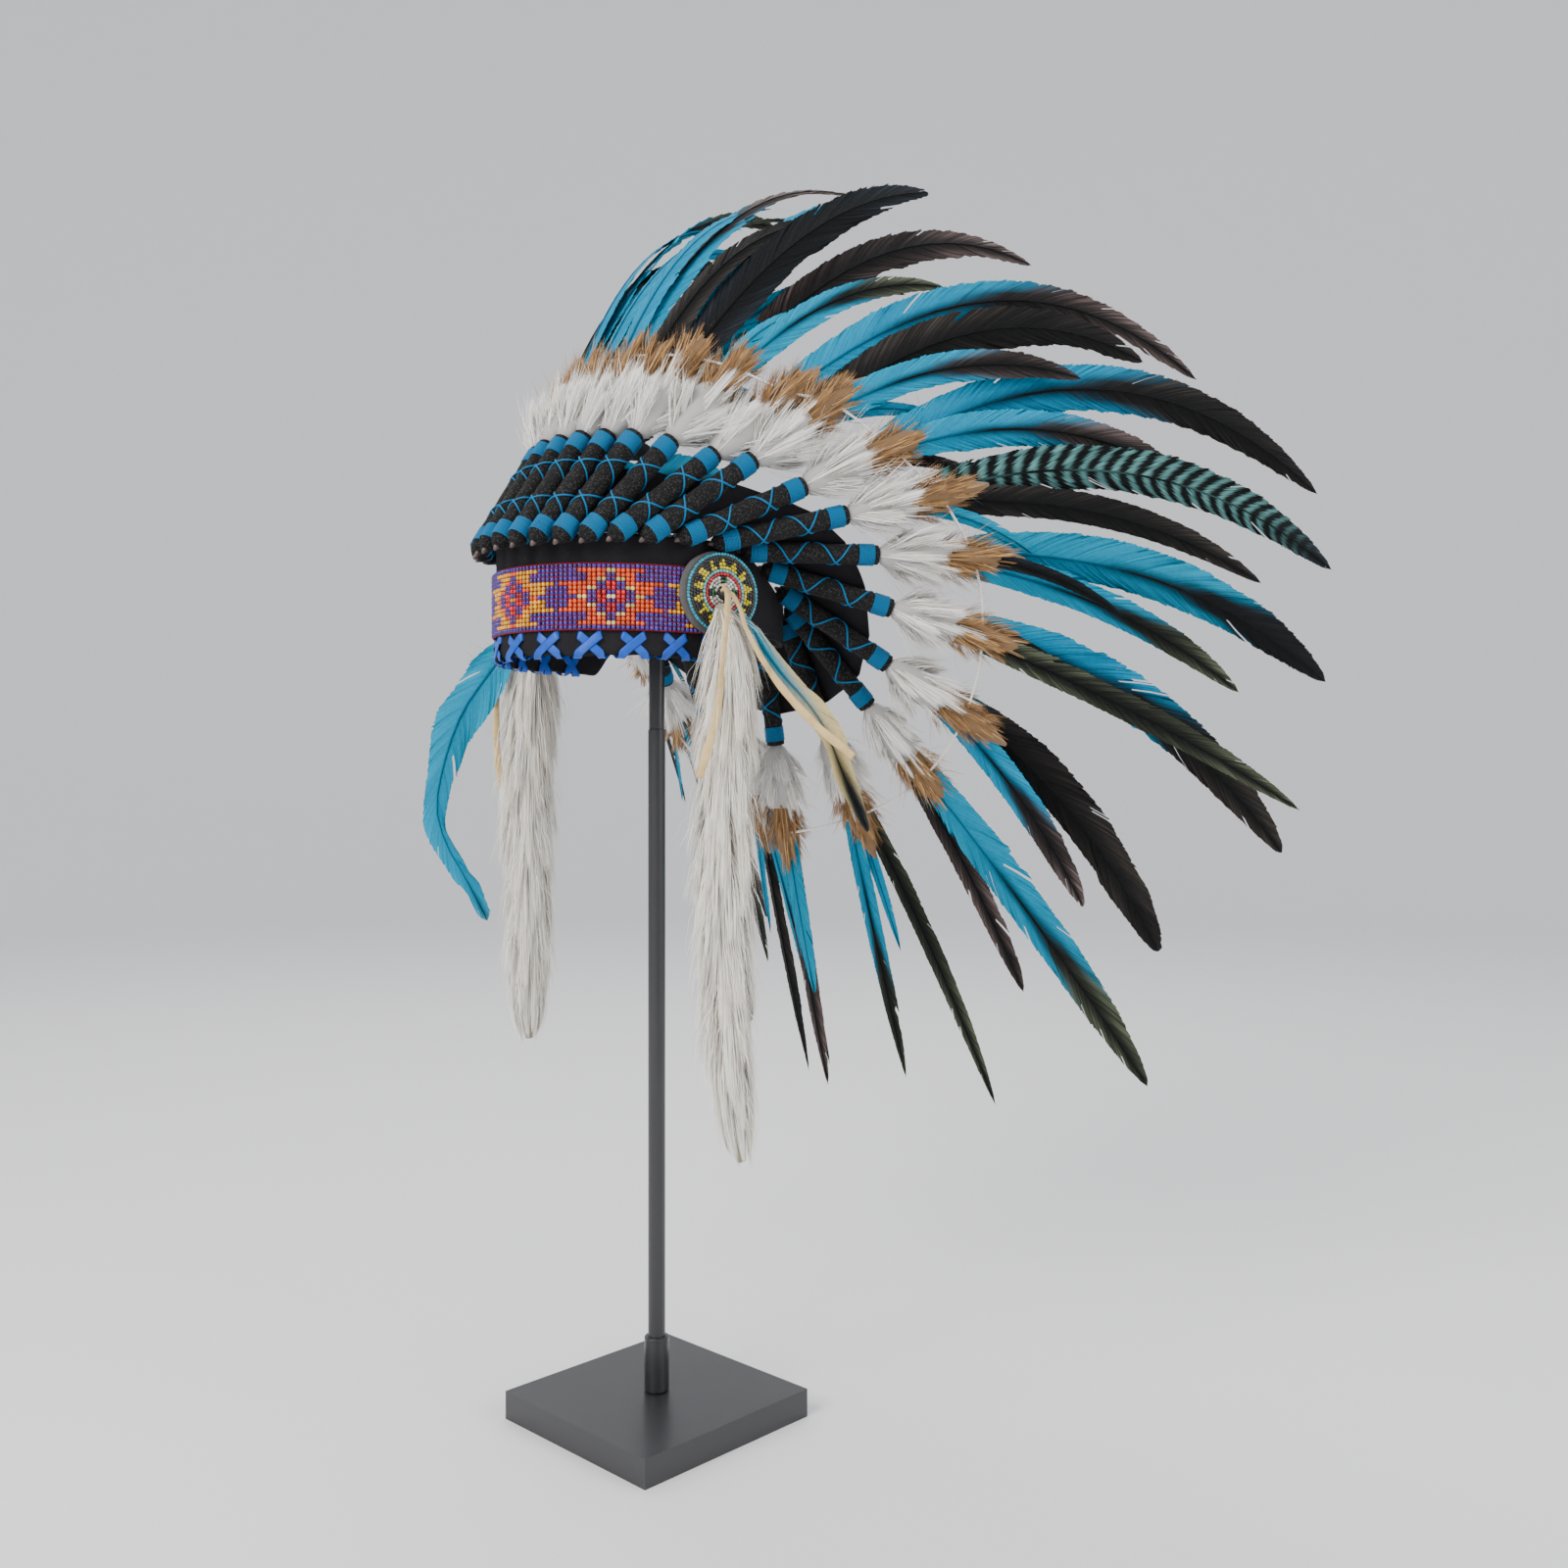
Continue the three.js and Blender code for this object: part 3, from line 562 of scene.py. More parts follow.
def grid_faces(rows: int, columns: int, wrap: bool = True) -> Array:
    """Join a grid of points, row by row, into quads.

    Args:
        rows: How many rows of points.
        columns: How many points in a row.
        wrap: Whether a row's end joins its start.

    Returns:
        The quads.
    """
    last = columns if wrap else columns - 1
    row, column = np.meshgrid(np.arange(rows - 1), np.arange(last), indexing="ij")
    a = row * columns + column
    b = row * columns + (column + 1) % columns
    return np.stack([a, b, b + columns, a + columns], -1).reshape(-1, 4)


def rings(centres: Array, across: Array, depth: Array, sides: int) -> Array:
    """Give a ring of points round each centre."""
    turn = circle(sides)[None, :, None]
    return centres[:, None] + (np.cos(turn) * across[:, None] + np.sin(turn) * depth[:, None])


def tube(centres: Array, across: Array, depth: Array, sides: int) -> Shape:
    """Make a closed tube through stations.

    Args:
        centres: The middle of each station.
        across: Half the station's width, as a vector.
        depth: Half its depth, as a vector.
        sides: Points round a station.

    Returns:
        Points and faces.
    """
    points = rings(centres, across, depth, sides).reshape(-1, 3)
    first = np.arange(sides)[::-1][None]
    last = (np.arange(sides) + (len(centres) - 1) * sides)[None]
    return points, [grid_faces(len(centres), sides), first, last]


def ring_loop(sections: Array) -> Shape:
    """Join sections, stations by outline points, round a closed loop."""
    stations, outline = sections.shape[:2]
    return sections.reshape(-1, 3), [grid_faces(stations + 1, outline) % (stations * outline)]


def strands(
    roots: Array, middles: Array, tips: Array, wide: Array, keep: float
) -> tuple[Shape, Array]:
    """Make flat pointed strands, each a curve of HAIR_POINTS points.

    Args:
        roots: Where each starts.
        middles: What each bends towards.
        tips: Where each ends.
        wide: Half of its width, as a vector.
        keep: The share of its width that is left before the tip.

    Returns:
        Points and faces, and each point's share along.
    """
    share = np.linspace(0, 1, HAIR_POINTS // 2 + 1)
    at = share[None, :, None]
    line = (1 - at) ** 2 * roots[:, None] + 2 * at * (1 - at) * middles[:, None] + at**2 * tips[:, None]
    taper = np.linspace(1, keep, HAIR_POINTS // 2)[None, :, None] * wide[:, None]
    pairs = np.stack([line[:, :-1] - taper, line[:, :-1] + taper], 2).reshape(len(roots), -1, 3)
    points = np.concatenate([pairs, line[:, -1:]], 1).reshape(-1, 3)
    first = (np.arange(len(roots)) * HAIR_POINTS)[:, None]
    along = np.tile(np.append(np.repeat(share[:-1], 2), 1.0), len(roots))
    return (points, [first + np.array([0, 1, 3, 2]), first + np.array([2, 3, 4])]), along


def copies(shape: Shape, places: Array, axes: Array) -> Shape:
    """Set many copies of a small shape.

    Args:
        shape: Its points and faces.
        places: Where each copy goes.
        axes: The three directions of each copy, a row each.

    Returns:
        Points and faces.
    """
    points = np.einsum("pk,nkj->npj", shape[0], axes) + places[:, None]
    shift = (np.arange(len(places)) * len(shape[0]))[:, None, None]
    return points.reshape(-1, 3), [(f[None] + shift).reshape(-1, f.shape[1]) for f in shape[1]]


def bead_shape(sides: int, bands: int, hole: float, squash: float) -> Shape:
    """Make a bead of radius one round its third axis, open where the thread runs.

    Args:
        sides: Points round it.
        bands: Points from end to end.
        hole: The hole's radius.
        squash: Half of its length.

    Returns:
        Points and faces.
    """
    steepest = 1.05
    slope = np.linspace(-steepest, steepest, bands)[:, None]
    turn = circle(sides)
    radius = hole + (1 - hole) * np.cos(slope)
    height = squash * np.sin(slope) / math.sin(steepest)
    points = np.stack([radius * np.cos(turn), radius * np.sin(turn), np.repeat(height, sides, 1)], -1)
    return points.reshape(-1, 3), [grid_faces(bands, sides)]


def measure(points: Array) -> Array:
    """Give how far along a line each of its points lies."""
    return np.concatenate([[0], np.cumsum(np.linalg.norm(np.diff(points, axis=0), axis=1))])


def read_line(goal: Array, arcs: Array, points: Array) -> Array:
    """Read a line's points at distances along it."""
    return np.stack([np.interp(goal, arcs, column) for column in points.T], -1)


def cross_axes(along: Array, face: Array) -> tuple[Array, Array]:
    """Give the directions across and through a flat thing that faces a way."""
    across = unit(np.cross(along, face))
    return across, unit(np.cross(along, across))


class Path:
    """A line through points, read by its share of the whole length."""

    def __init__(self, points: Array) -> None:
        """Measure the line.

        Args:
            points: Its points, one a row.
        """
        self.points = np.asarray(points, float)
        self.arcs = measure(self.points)
        self.length = float(self.arcs[-1])

    def read(self, share: Array) -> Array:
        """Give the places at shares of the length."""
        return read_line(np.asarray(share, float) * self.length, self.arcs, self.points)

    def tangent(self, share: Array) -> Array:
        """Give the directions at shares of the length."""
        reach = 0.01
        return unit(self.read(np.clip(share + reach, 0, 1)) - self.read(np.clip(share - reach, 0, 1)))


class Curve(Path):
    """A smooth line through places that leaves no overshoot at sharp turns."""

    steps = 14

    def __init__(self, places: Array, closed: bool = False) -> None:
        """Draw the line.

        Args:
            places: The places, one a row.
            closed: Whether the last joins the first.
        """
        places = np.asarray(places, float)
        if closed:
            padded = np.vstack([places[-1:], places, places[:2]])
        else:
            padded = np.vstack([2 * places[0] - places[1], places, 2 * places[-1] - places[-2]])
        fine = [self._span(four) for four in zip(padded, padded[1:], padded[2:], padded[3:])]
        super().__init__(np.vstack([*fine, places[:1] if closed else places[-1:]]))

    def _span(self, four: tuple[Array, ...]) -> Array:
        """Draw the stretch between the second and the third of four places.

        Args:
            four: The places.

        Returns:
            Points from the second place up to the third.
        """
        gaps = [math.sqrt(np.linalg.norm(q - p)) for p, q in zip(four, four[1:])]
        knots = np.cumsum([0.0] + gaps)
        share = np.linspace(0, 1, self.steps, endpoint=False)[:, None]
        at = knots[1] + share * (knots[2] - knots[1])
        level = list(four)
        for width in (1, 2):
            pairs = enumerate(zip(level, level[1:]))
            level = [self._between(at, p, q, knots[i], knots[i + width]) for i, (p, q) in pairs]
        return self._between(at, *level, knots[1], knots[2])

    def _between(self, at: Array, p: Array, q: Array, low: float, high: float) -> Array:
        """Mix two points by where a place lies between two knots."""
        return (p * (high - at) + q * (at - low)) / (high - low)


class HeadLoop:
    """The band's outside, with places found by their arc from the middle of the brow."""

    front = 94.0
    side = 74.0
    centre_y = -10.0
    stations = 2881

    def __init__(self) -> None:
        """Measure the loop."""
        angle = np.linspace(0, TURN, self.stations)
        x, y, level = np.sin(angle), np.cos(angle), 0 * angle
        self.places = np.stack([self.side * x, self.centre_y - self.front * y, level], -1)
        self.normals = unit(np.stack([x / self.side, -y / self.front, level], -1))
        self.arcs = measure(self.places)
        self.length = self.arcs[-1]

    def outward(self, arc: Array) -> Array:
        """Give the direction away from the head."""
        return unit(read_line(np.mod(arc, self.length), self.arcs, self.normals))

    def place(self, arc: Array, offset: Array, height: Array) -> Array:
        """Give places on or off the loop.

        Args:
            arc: Arcs along the band.
            offset: How far outside the loop.
            height: How high.

        Returns:
            The places.
        """
        flat = read_line(np.mod(arc, self.length), self.arcs, self.places)
        flat = flat + self.outward(arc) * np.asarray(offset, float)[..., None]
        return flat + UP * np.asarray(height, float)[..., None]

    def reach(self, arc: Array) -> Array:
        """Give the arc's distance from the middle of the brow, the shorter way round."""
        goal = np.mod(arc, self.length)
        return np.minimum(goal, self.length - goal)


LOOP = HeadLoop()


class Kind(Enum):
    """How a feather is coloured."""

    BLUE = "turquoise with a black end"
    DARK = "iridescent black"
    BARRED = "barred"
    TEAL = "turquoise all along"
    PALE = "turquoise, cream and dark"


@dataclass(frozen=True)
class Feather:
    """A long feather: length, droop, then degrees it leans to the front and along the row."""

    length: float
    droop: float
    lift: float
    lean: float
    kind: Kind
    width: float


@dataclass(frozen=True)
class Place:
    """A roll's place: share of half the band, degrees out and up, and share of the drop."""

    share: float
    sweep: float
    rise: float
    drop: float
    feathers: tuple[Feather, Feather]


def row(share: float, sweep: float, rise: float, drop: float, first: tuple, second: tuple) -> Place:
    """Write one place of the ring with its two feathers."""
    return Place(share, sweep, rise, drop, (Feather(*first), Feather(*second)))


BLUE, DARK, BARRED, TEAL = Kind.BLUE, Kind.DARK, Kind.BARRED, Kind.TEAL
RING = [
    row(0.0, 0, 55, 0.0, (270, 0.9, 6, 0, BLUE, 20), (190, 0.8, 12, 3, TEAL, 13)),
    row(0.047, 4, 55, 0.0, (285, 0.95, 8, 0, BLUE, 22), (205, 0.8, 12, -2, TEAL, 14)),
    row(0.094, 7, 54, 0.0, (266, 0.8, 5, 1, TEAL, 15), (215, 0.9, 10, 0, DARK, 18)),
    row(0.141, 10, 52.5, 0.0, (258, 0.7, 6, 1, DARK, 30), (215, 0.9, 0, 4, BLUE, 17)),
    row(0.193, 14, 48, 0.0, (325, 0.95, 0, -3, DARK, 27), (200, 0.8, 6, 3, BLUE, 18)),
    row(0.249, 19, 40, 0.0, (385, 1.3, 2, -1, BLUE, 29), (230, 0.9, -5, -4, DARK, 18)),
    row(0.314, 23, 37, 0.0, (298, 1.0, -2, -3, DARK, 29), (205, 0.8, 7, 4, BLUE, 20)),
    row(0.392, 27, 25, 0.01, (392, 1.35, -4, -5, BLUE, 30), (255, 1.1, 4, -1, BLUE, 22)),
    row(0.474, 32, 14, 0.05, (330, 1.2, -5, -3, BARRED, 28), (270, 0.8, 3, 5, DARK, 20)),
    row(0.556, 36, 0, 0.14, (306, 1.05, -7, 2, BLUE, 30), (232, 0.8, 5, 4, BLUE, 20)),
    row(0.634, 38, -16, 0.36, (292, 1.5, -6, 1, BLUE, 30), (262, 0.3, 6, -1, DARK, 18)),
    row(0.717, 36, -33, 0.64, (255, 2.0, -7, 6, DARK, 31), (185, 1.5, 6, 4, BLUE, 20)),
    row(0.804, 30, -49, 0.84, (290, 0.3, 2, -5, BLUE, 28), (200, 0.8, 7, 3, DARK, 18)),
    row(0.902, 18, -66, 0.95, (262, 0.9, -5, -5, DARK, 15), (230, 1.4, 7, 7, BLUE, 14)),
    row(1.0, 0, -80, 1.0, (225, 1.0, -4, 4, DARK, 16), (150, 1.2, 4, -4, TEAL, 15)),
]


class Fan:
    """The ring of rolls: where each starts, where it points, and the fan's face there."""

    count = 28
    half = 14
    roll_length = 75.0
    wrap_width = 9.5
    wrap_radius = 6.5
    gap = 0.5
    row_height = 526.0
    row_drop = 44.0
    inner_end = -wrap_width / 2
    outer_end = roll_length + inner_end

    def __init__(self) -> None:
        """Work the ring out."""
        left = np.arange(self.count) <= self.half
        self.rows = [RING[i if left[i] else self.count - i] for i in range(self.count)]
        side = np.where(left, 1.0, -1.0)
        self.side = side
        self.arc = side * np.array([r.share for r in self.rows]) * (LOOP.length / 2)
        sweep = np.radians([r.sweep for r in self.rows])
        rise = np.radians([r.rise for r in self.rows])
        level = np.cos(rise)
        self.along = np.stack([side * np.sin(sweep) * level, np.cos(sweep) * level, np.sin(rise)], -1)
        outward = LOOP.outward(self.arc)
        leaning = (self.along * outward).sum(1)
        leant = self.wrap_radius * np.sqrt(1 - leaning**2) + leaning * self.wrap_width / 2
        drop = np.array([r.drop for r in self.rows])
        offset = self.gap + np.maximum(self.wrap_radius, leant)
        self.root = LOOP.place(self.arc, offset, self.row_height - drop * self.row_drop)
        line = np.roll(self.root, -1, 0) - np.roll(self.root, 1, 0)
        self.face = unit(np.cross(line, self.along))
        self.beside = unit(np.cross(self.along, self.face))
        broad = unit(np.stack([outward[:, 0], -0.8 + 0 * sweep, 0 * sweep], -1))
        self.vane_face = unit(0.6 * broad + 0.4 * self.face)

    def on(self, index: int, distance: "float | Array") -> Array:
        """Give a place on a roll's axis."""
        return self.root[index] + self.along[index] * distance


FAN = Fan()
WEIGHT = unit(np.array([0.0, 0.35, -0.94]))


@dataclass
class Camera:
    """The camera at the photograph's place."""

    place: tuple[float, float, float] = (0.6742, -0.5863, 0.3865)
    towards: tuple[float, float, float] = (-0.6947, 0.7193, 0.0)
    lens: float = 33.5

    def build(self) -> None:
        """Set the camera up."""
        data = bpy.data.cameras.new("photo_camera")
        data.lens = self.lens
        data.sensor_width = 36.0
        made = link("photo_camera", data)
        made.location = self.place
        made.rotation_euler = Vector(self.towards).to_track_quat("-Z", "Y").to_euler()
        bpy.context.scene.camera = made


@dataclass(frozen=True)
class Lamp:
    """A soft square light that looks at the headdress."""

    name: str
    place: tuple[float, float, float]
    size: float
    power: float
    colour: Colour = (1.0, 1.0, 1.0)
    target: tuple[float, float, float] = (0.0, 0.05, 0.42)

    def build(self) -> None:
        """Set the light up."""
        data = bpy.data.lights.new(self.name, "AREA")
        data.size = self.size
        data.energy = self.power
        data.color = self.colour
        made = link(self.name, data)
        made.location = self.place
        aim = Vector(self.target) - made.location
        made.rotation_euler = aim.to_track_quat("-Z", "Y").to_euler()


@dataclass
class Studio:
    """Soft lights, a pale world, and a round floor that curves up into a pale wall."""

    inner_m: tuple[float, float] = (0.02, 1.0)
    depth_m: float = 3.4
    curve_m: float = 1.8
    wall_m: float = 4.4
    sides: int = 128
    curve_steps: int = 24
    sky: tuple[float, float, float, float] = (0.95, 0.97, 1.0, 1.0)
    sky_strength: float = 0.9
    lamps: tuple[Lamp, ...] = (
        Lamp("key_light", (0.2, -2.0, 1.7), 1.2, 60.0, (1.0, 0.98, 0.95)),
        Lamp("side_light", (2.2, 0.6, 1.3), 1.3, 26.0),
        Lamp("top_light", (-0.9, 0.7, 2.2), 1.5, 20.0),
    )

    def build(self) -> None:
        """Set up the floor, the world and the lights."""
        turn = np.linspace(0, np.pi / 2, self.curve_steps)
        outer = self.depth_m + self.curve_m * np.sin(turn)
        radius = np.concatenate([self.inner_m, outer, outer[-1:]])
        rise = np.concatenate([[0.0, 0.0], self.curve_m * (1 - np.cos(turn)), [self.wall_m]])
        rim = spokes(circle(self.sides), np.array([1.0, 0, 0]), np.array([0, 1.0, 0]))
        points = radius[:, None, None] * rim[None] + rise[:, None, None] * UP
        mesh = bpy.data.meshes.new("floor")
        mesh.from_pydata(points.reshape(-1, 3).tolist(), [], grid_faces(len(radius), self.sides).tolist())
        mesh.polygons.foreach_set("use_smooth", [True] * len(mesh.polygons))
        mesh.materials.append(Ground("floor_pale").material())
        link("floor", mesh)
        world = bpy.data.worlds.new("studio")
        world.use_nodes = True
        sky = world.node_tree.nodes["Background"]
        sky.inputs[0].default_value = self.sky
        sky.inputs[1].default_value = self.sky_strength
        bpy.context.scene.world = world
        for lamp in self.lamps:
            lamp.build()


class RosettePlace:
    """The place of a rosette at an ear, and what is measured from its face."""

    arc = 122.0
    height = 493.5
    turn = math.radians(8)
    backing = 1.6
    layer_gap = 0.3
    disc = 3.0
    clearance = 2.8
    radius = 24.0
    turned_share = 0.45

    def __init__(self, side: int) -> None:
        """Work the place out.

        Args:
            side: 1 for the wearer's left, -1 for the right.
        """
        arc = np.array(side * self.arc)
        outward = LOOP.outward(arc)
        lean = math.tan(self.turn) * self.radius * self.turned_share
        self.seat = LOOP.place(arc, np.array(self.clearance + lean), np.array(self.height))
        c, s = math.cos(-side * self.turn), math.sin(-side * self.turn)
        x, y, _ = outward
        self.out = np.array([c * x - s * y, s * x + c * y, 0.0])
        self.back = side * np.cross(UP, self.out)
        self.beads = self.backing + self.layer_gap
        self.face = self.seat + self.out * (self.beads + self.disc)

    def from_face(self, route: list) -> Array:
        """Turn places out, back and up from the face into places in the frame."""
        return self.face + np.array(route, float) @ np.stack([self.out, self.back, UP])

    def on_disc(self, out: Array, back: Array, up: Array) -> Array:
        """Give places measured from the seat, out from the head."""
        flat = np.stack(np.broadcast_arrays(out, back, up), -1)
        return self.seat + flat @ np.stack([self.out, self.back, UP])


SIDES = {"left": RosettePlace(1), "right": RosettePlace(-1)}


SHORT_START = [(1.6, 1.5, 0), (4.5, 2, -1), (11.5, 3, -9), (17.5, 4.5, -23)]
LONG_START = [(1.6, -2, 1.5), (5, -3, 2.5), (13, -5.6, -3), (19.8, -10, -16), (25, -16, -41.5)]


@dataclass
class Thongs:
    """The leather laces that tie the rosettes, and hang free."""

    width: float = 4.5
    thick: float = 1.7
    stations: int = 90
    sides: int = 14
    routes: dict[str, list] = field(
        default_factory=lambda: {
            "left_short": [*SHORT_START, (26.8, 17.5, -50), (38, 35.5, -74), (50, 53, -92)],
            "left_long": [*LONG_START, (24.6, -19, -68.5), (21, -28, -103.5)],
            "right_short": [*SHORT_START, (25.4, 12, -50), (31.4, 21, -77)],
            "right_long": [
                *LONG_START, (22.6, -21, -68.5), (16.4, -26, -95), (16.5, -22.6, -109.5),
            ],
        }
    )

    def build(self) -> None:
        share = np.linspace(0, 1, self.stations)
        for name, route in self.routes.items():
            place = SIDES[name.split("_")[0]]
            path = Curve(place.from_face(route))
            across, depth = cross_axes(path.tangent(share), place.out)
            twist = 0.5 * np.sin(share * 5 + len(name))[:, None]
            wide = across * np.cos(twist) + depth * np.sin(twist)
            thin = depth * np.cos(twist) - across * np.sin(twist)
            half = self.width / 2 * (1 + 0.06 * np.sin(share * 37 + len(route)))[:, None]
            shape = tube(path.read(share), wide * half, thin * self.thick / 2, self.sides)
            lace = Build().add(shape).piece(
                "lace_" + name, [Smooth("lace_leather")], "thong_leather", "thong_" + name
            )
            line = path.read(np.linspace(0, 1, 24)) * MM
            self.width * MM


@dataclass
class Stand:
    """The plain black metal stand."""

    pole_profile: tuple = (
        (0, 17.3), (6.9, 17.3), (7.5, 17.9), (7.5, 49.7), (6.9, 50.3), (5.25, 50.3),
        (5.25, 419.5), (4.75, 420), (4.75, 486), (0, 486),
    )
    sides: int = 48
    cross_high: tuple[float, float] = (477.0, 487.0)
    cross_half_width: float = 7.0
    arm_along_x: float = 69.96
    arm_along_y: float = 90.78
    arm_centre_y: float = -10.0
    base_edge: float = 0.9

    def build(self) -> None:
        """Paint the base, and make the pole with its hidden cross round and smooth."""
        paint = Paint("black_paint")
        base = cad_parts["stand_base"]
        for slot in base.material_slots:
            slot.material = paint.material()
        edge = base.modifiers.new("edge", "BEVEL")
        edge.width = self.base_edge * MM
        edge.segments = 3
        build = Build()
        rim = spokes(circle(self.sides), np.array([1.0, 0, 0]), np.array([0, 1.0, 0]))
        for ends in zip(self.pole_profile, self.pole_profile[1:]):
            rings = np.stack([rim * radius + UP * height for radius, height in ends])
            build.add((rings, [grid_faces(2, self.sides)]))
        across = (-self.cross_half_width, self.cross_half_width)
        arm = np.array(list(product((-self.arm_along_x, self.arm_along_x), across, self.cross_high)))
        self._box(build, arm)
        arm = np.array(list(product((-self.arm_along_y, self.arm_along_y), across, self.cross_high)))
        self._box(build, arm[:, [1, 0, 2]] + np.array([0, self.arm_centre_y, 0]))
        build.piece("pole", [paint], "black_metal", "stand_pole")

    def _box(self, build: Build, corners: Array) -> None:
        """Add a box with sharp edges, by its eight corners."""
        for side in ((0, 1, 3, 2), (4, 6, 7, 5), (0, 4, 5, 1), (2, 3, 7, 6), (0, 2, 6, 4), (1, 5, 7, 3)):
            build.add((corners[list(side)], [np.arange(4)[None]]))


@dataclass
class Suedes:
    """The soft leather: the band on the head, and the collar behind the rolls."""

    thick: float = 2.5
    low: float = 457.0
    high: float = 524.0
    strip_low: float = 472.0
    strip_high: float = 497.0
    ear: float = 150.0
    ear_round: float = 16.0
    fall: tuple[float, float] = (128.0, 204.0)
    stations: int = 420
    collar_reach: float = 52.0
    collar_thick: float = 1.6
    collar_round: float = 0.15
    collar_gap: float = 0.8
    clearance: float = 0.6
    search_step: float = 0.25
    coarse: int = 2
    fine: int = 12

    def edges(self, arc: Array) -> tuple[Array, Array]:
        """Give the band's lower and upper edge at arcs.

        Args:
            arc: Arcs along the band.

        Returns:
            Both heights.
        """
        reach = LOOP.reach(arc)
        ear = smooth(reach, self.ear, self.ear + self.ear_round)
        low = self.low + (self.strip_low - self.low) * ear
        return low, self.high + (self.strip_high - self.high) * smooth(reach, *self.fall)

    def build(self) -> None:
        """Make both pieces."""
        nap = Suede("black_nap")
        self._band().piece("suede_band", [nap], "black_suede", "brow_band")
        self._collar().piece("suede_collar", [nap], "black_suede", "roll_backing")

    def _band(self) -> Build:
        """Make the band with rounded, slightly uneven edges.

        Returns:
            Its mesh.
        """
        arc = np.linspace(0, LOOP.length, self.stations, endpoint=False)
        low, high = self.edges(arc)
        uneven = 0.35 * np.sin(arc / 9.0) + 0.3 * np.sin(arc / 4.1 + 1)
        low, high = low + uneven, high + 0.6 * uneven
        half = self.thick / 2
        turn = np.linspace(-np.pi / 2, np.pi / 2, 6)
        heights = np.linspace(0.03, 0.97, 9)
        outline = [(0.0, 0.0, height) for height in heights]
        outline += [(half * (np.sin(-t) - 1), half * np.cos(t) - half, 1.0) for t in turn]
        outline += [(-self.thick, 0.0, height) for height in heights[::-1]]
        outline += [(half * (np.sin(t) - 1), half - half * np.cos(t), 0.0) for t in turn]
        stations = []
        for offset, rise, share in outline:
            wave = 0.25 * np.sin(arc / 13.0 + share * 4) * math.sin(math.pi * share)
            height = low + (high - low) * share + rise
            stations.append(LOOP.place(arc, offset + wave - 0.1, height))
        return Build().add(ring_loop(np.stack(stations, 1)))

    def _frames(self, places: Array) -> tuple[Array, ...]:
        """Give what the collar follows at places round the ring of rolls.

        Args:
            places: Numbers of rolls, with shares of the way to the next.

        Returns:
            Root, direction, face and arc at each place.
        """
        index = np.floor(places).astype(int) % FAN.count
        after = (index + 1) % FAN.count
        share = (places - np.floor(places))[:, None]
        root, along, face = (
            table[index] * (1 - share) + table[after] * share for table in (FAN.root, FAN.along, FAN.face)
        )
        half = LOOP.length / 2
        step = (FAN.arc[after] - FAN.arc[index] + 3 * half) % LOOP.length - half
        return root, unit(along), unit(face), FAN.arc[index] + share[:, 0] * step

    def _starts(self) -> tuple[Array, Array]:
        """Find how near the band the collar can start.

        Returns:
            Places round the ring, and distances along the rolls there.
        """
        places = np.arange(FAN.count * self.coarse) / self.coarse
        root, along, face, arc = self._frames(places)
        front = FAN.wrap_radius + self.collar_gap
        low, high = self.edges(arc)
        outward = LOOP.outward(arc)
        edge = LOOP.place(arc, 0 * arc, 0 * arc)
        start = np.full(len(places), self.collar_reach - 2)
        open_ = np.ones(len(places), bool)
        while open_.any():
            open_ &= start > FAN.inner_end
            for sink in (front, front + self.collar_thick):
                place = root + along * (start - self.search_step)[:, None] - face * sink
                outside = ((place - edge) * outward)[:, :2].sum(1) > self.clearance
                above = place[:, 2] > high + self.clearance
                open_ &= outside | above | (place[:, 2] < low - self.clearance)
            start = np.where(open_, start - self.search_step, start)
        return np.append(places, FAN.count), np.append(start, start[0])

    def _collar(self) -> Build:
        """Make the collar, which starts as near the band as it can lie.

        Returns:
            Its mesh.
        """
        places = np.arange(FAN.count * self.fine) / self.fine
        root, along, face, _ = self._frames(places)
        begin = np.interp(places, *self._starts())
        reach = self.collar_reach + 0.5 * np.sin(places * 2.1) + 0.3 * np.sin(places * 5.3)
        wave = 0.25 * np.sin(places * TURN)
        shares = (0.0, 0.02, 0.35, 0.7, 0.98, 1.0)
        sinks = (self.collar_round, 0.0, 0.0, 0.0, 0.0, self.collar_round)
        outline = list(zip(shares, sinks))
        outline += [(share, self.collar_thick - sink) for share, sink in outline[::-1]]
        sections = []
        for share, sink in outline:
            distance = begin + (reach - begin) * share
            depth = FAN.wrap_radius + self.collar_gap + sink + wave * share
            sections.append(root + along * distance[:, None] - face * depth[:, None])
        return Build().add(ring_loop(np.stack(sections, 1)))


BEAD_COLOURS = {
    "purple": screen_colour(60, 38, 150),
    "red": screen_colour(212, 12, 30),
    "yellow": screen_colour(250, 180, 0),
    "lemon": screen_colour(238, 214, 0),
    "orange": screen_colour(250, 84, 0),
    "pale": screen_colour(240, 214, 120),
    "cream": screen_colour(238, 226, 190),
    "black": screen_colour(16, 16, 20),
    "turquoise": screen_colour(30, 170, 196),
    "light": screen_colour(120, 208, 214),
    "green": screen_colour(24, 120, 66),
    "white": screen_colour(232, 230, 222),
}


def add_beads(
    build: Build, shape: Shape, places: Array, axes: Array, tints: Array
) -> None:
    """Add beads, each in its own colour and with a tone of its own.

    Args:
        build: The mesh that grows.
        shape: One bead.
        places: Where each bead lies.
        axes: The three directions of each.
        tints: The colour of each.
    """
    each = len(shape[0])
    tone = np.repeat(build.rng.random(len(tints)), each)
    build.add(copies(shape, places, axes), np.repeat(tints, each, 0), grain(0, 0, tone))


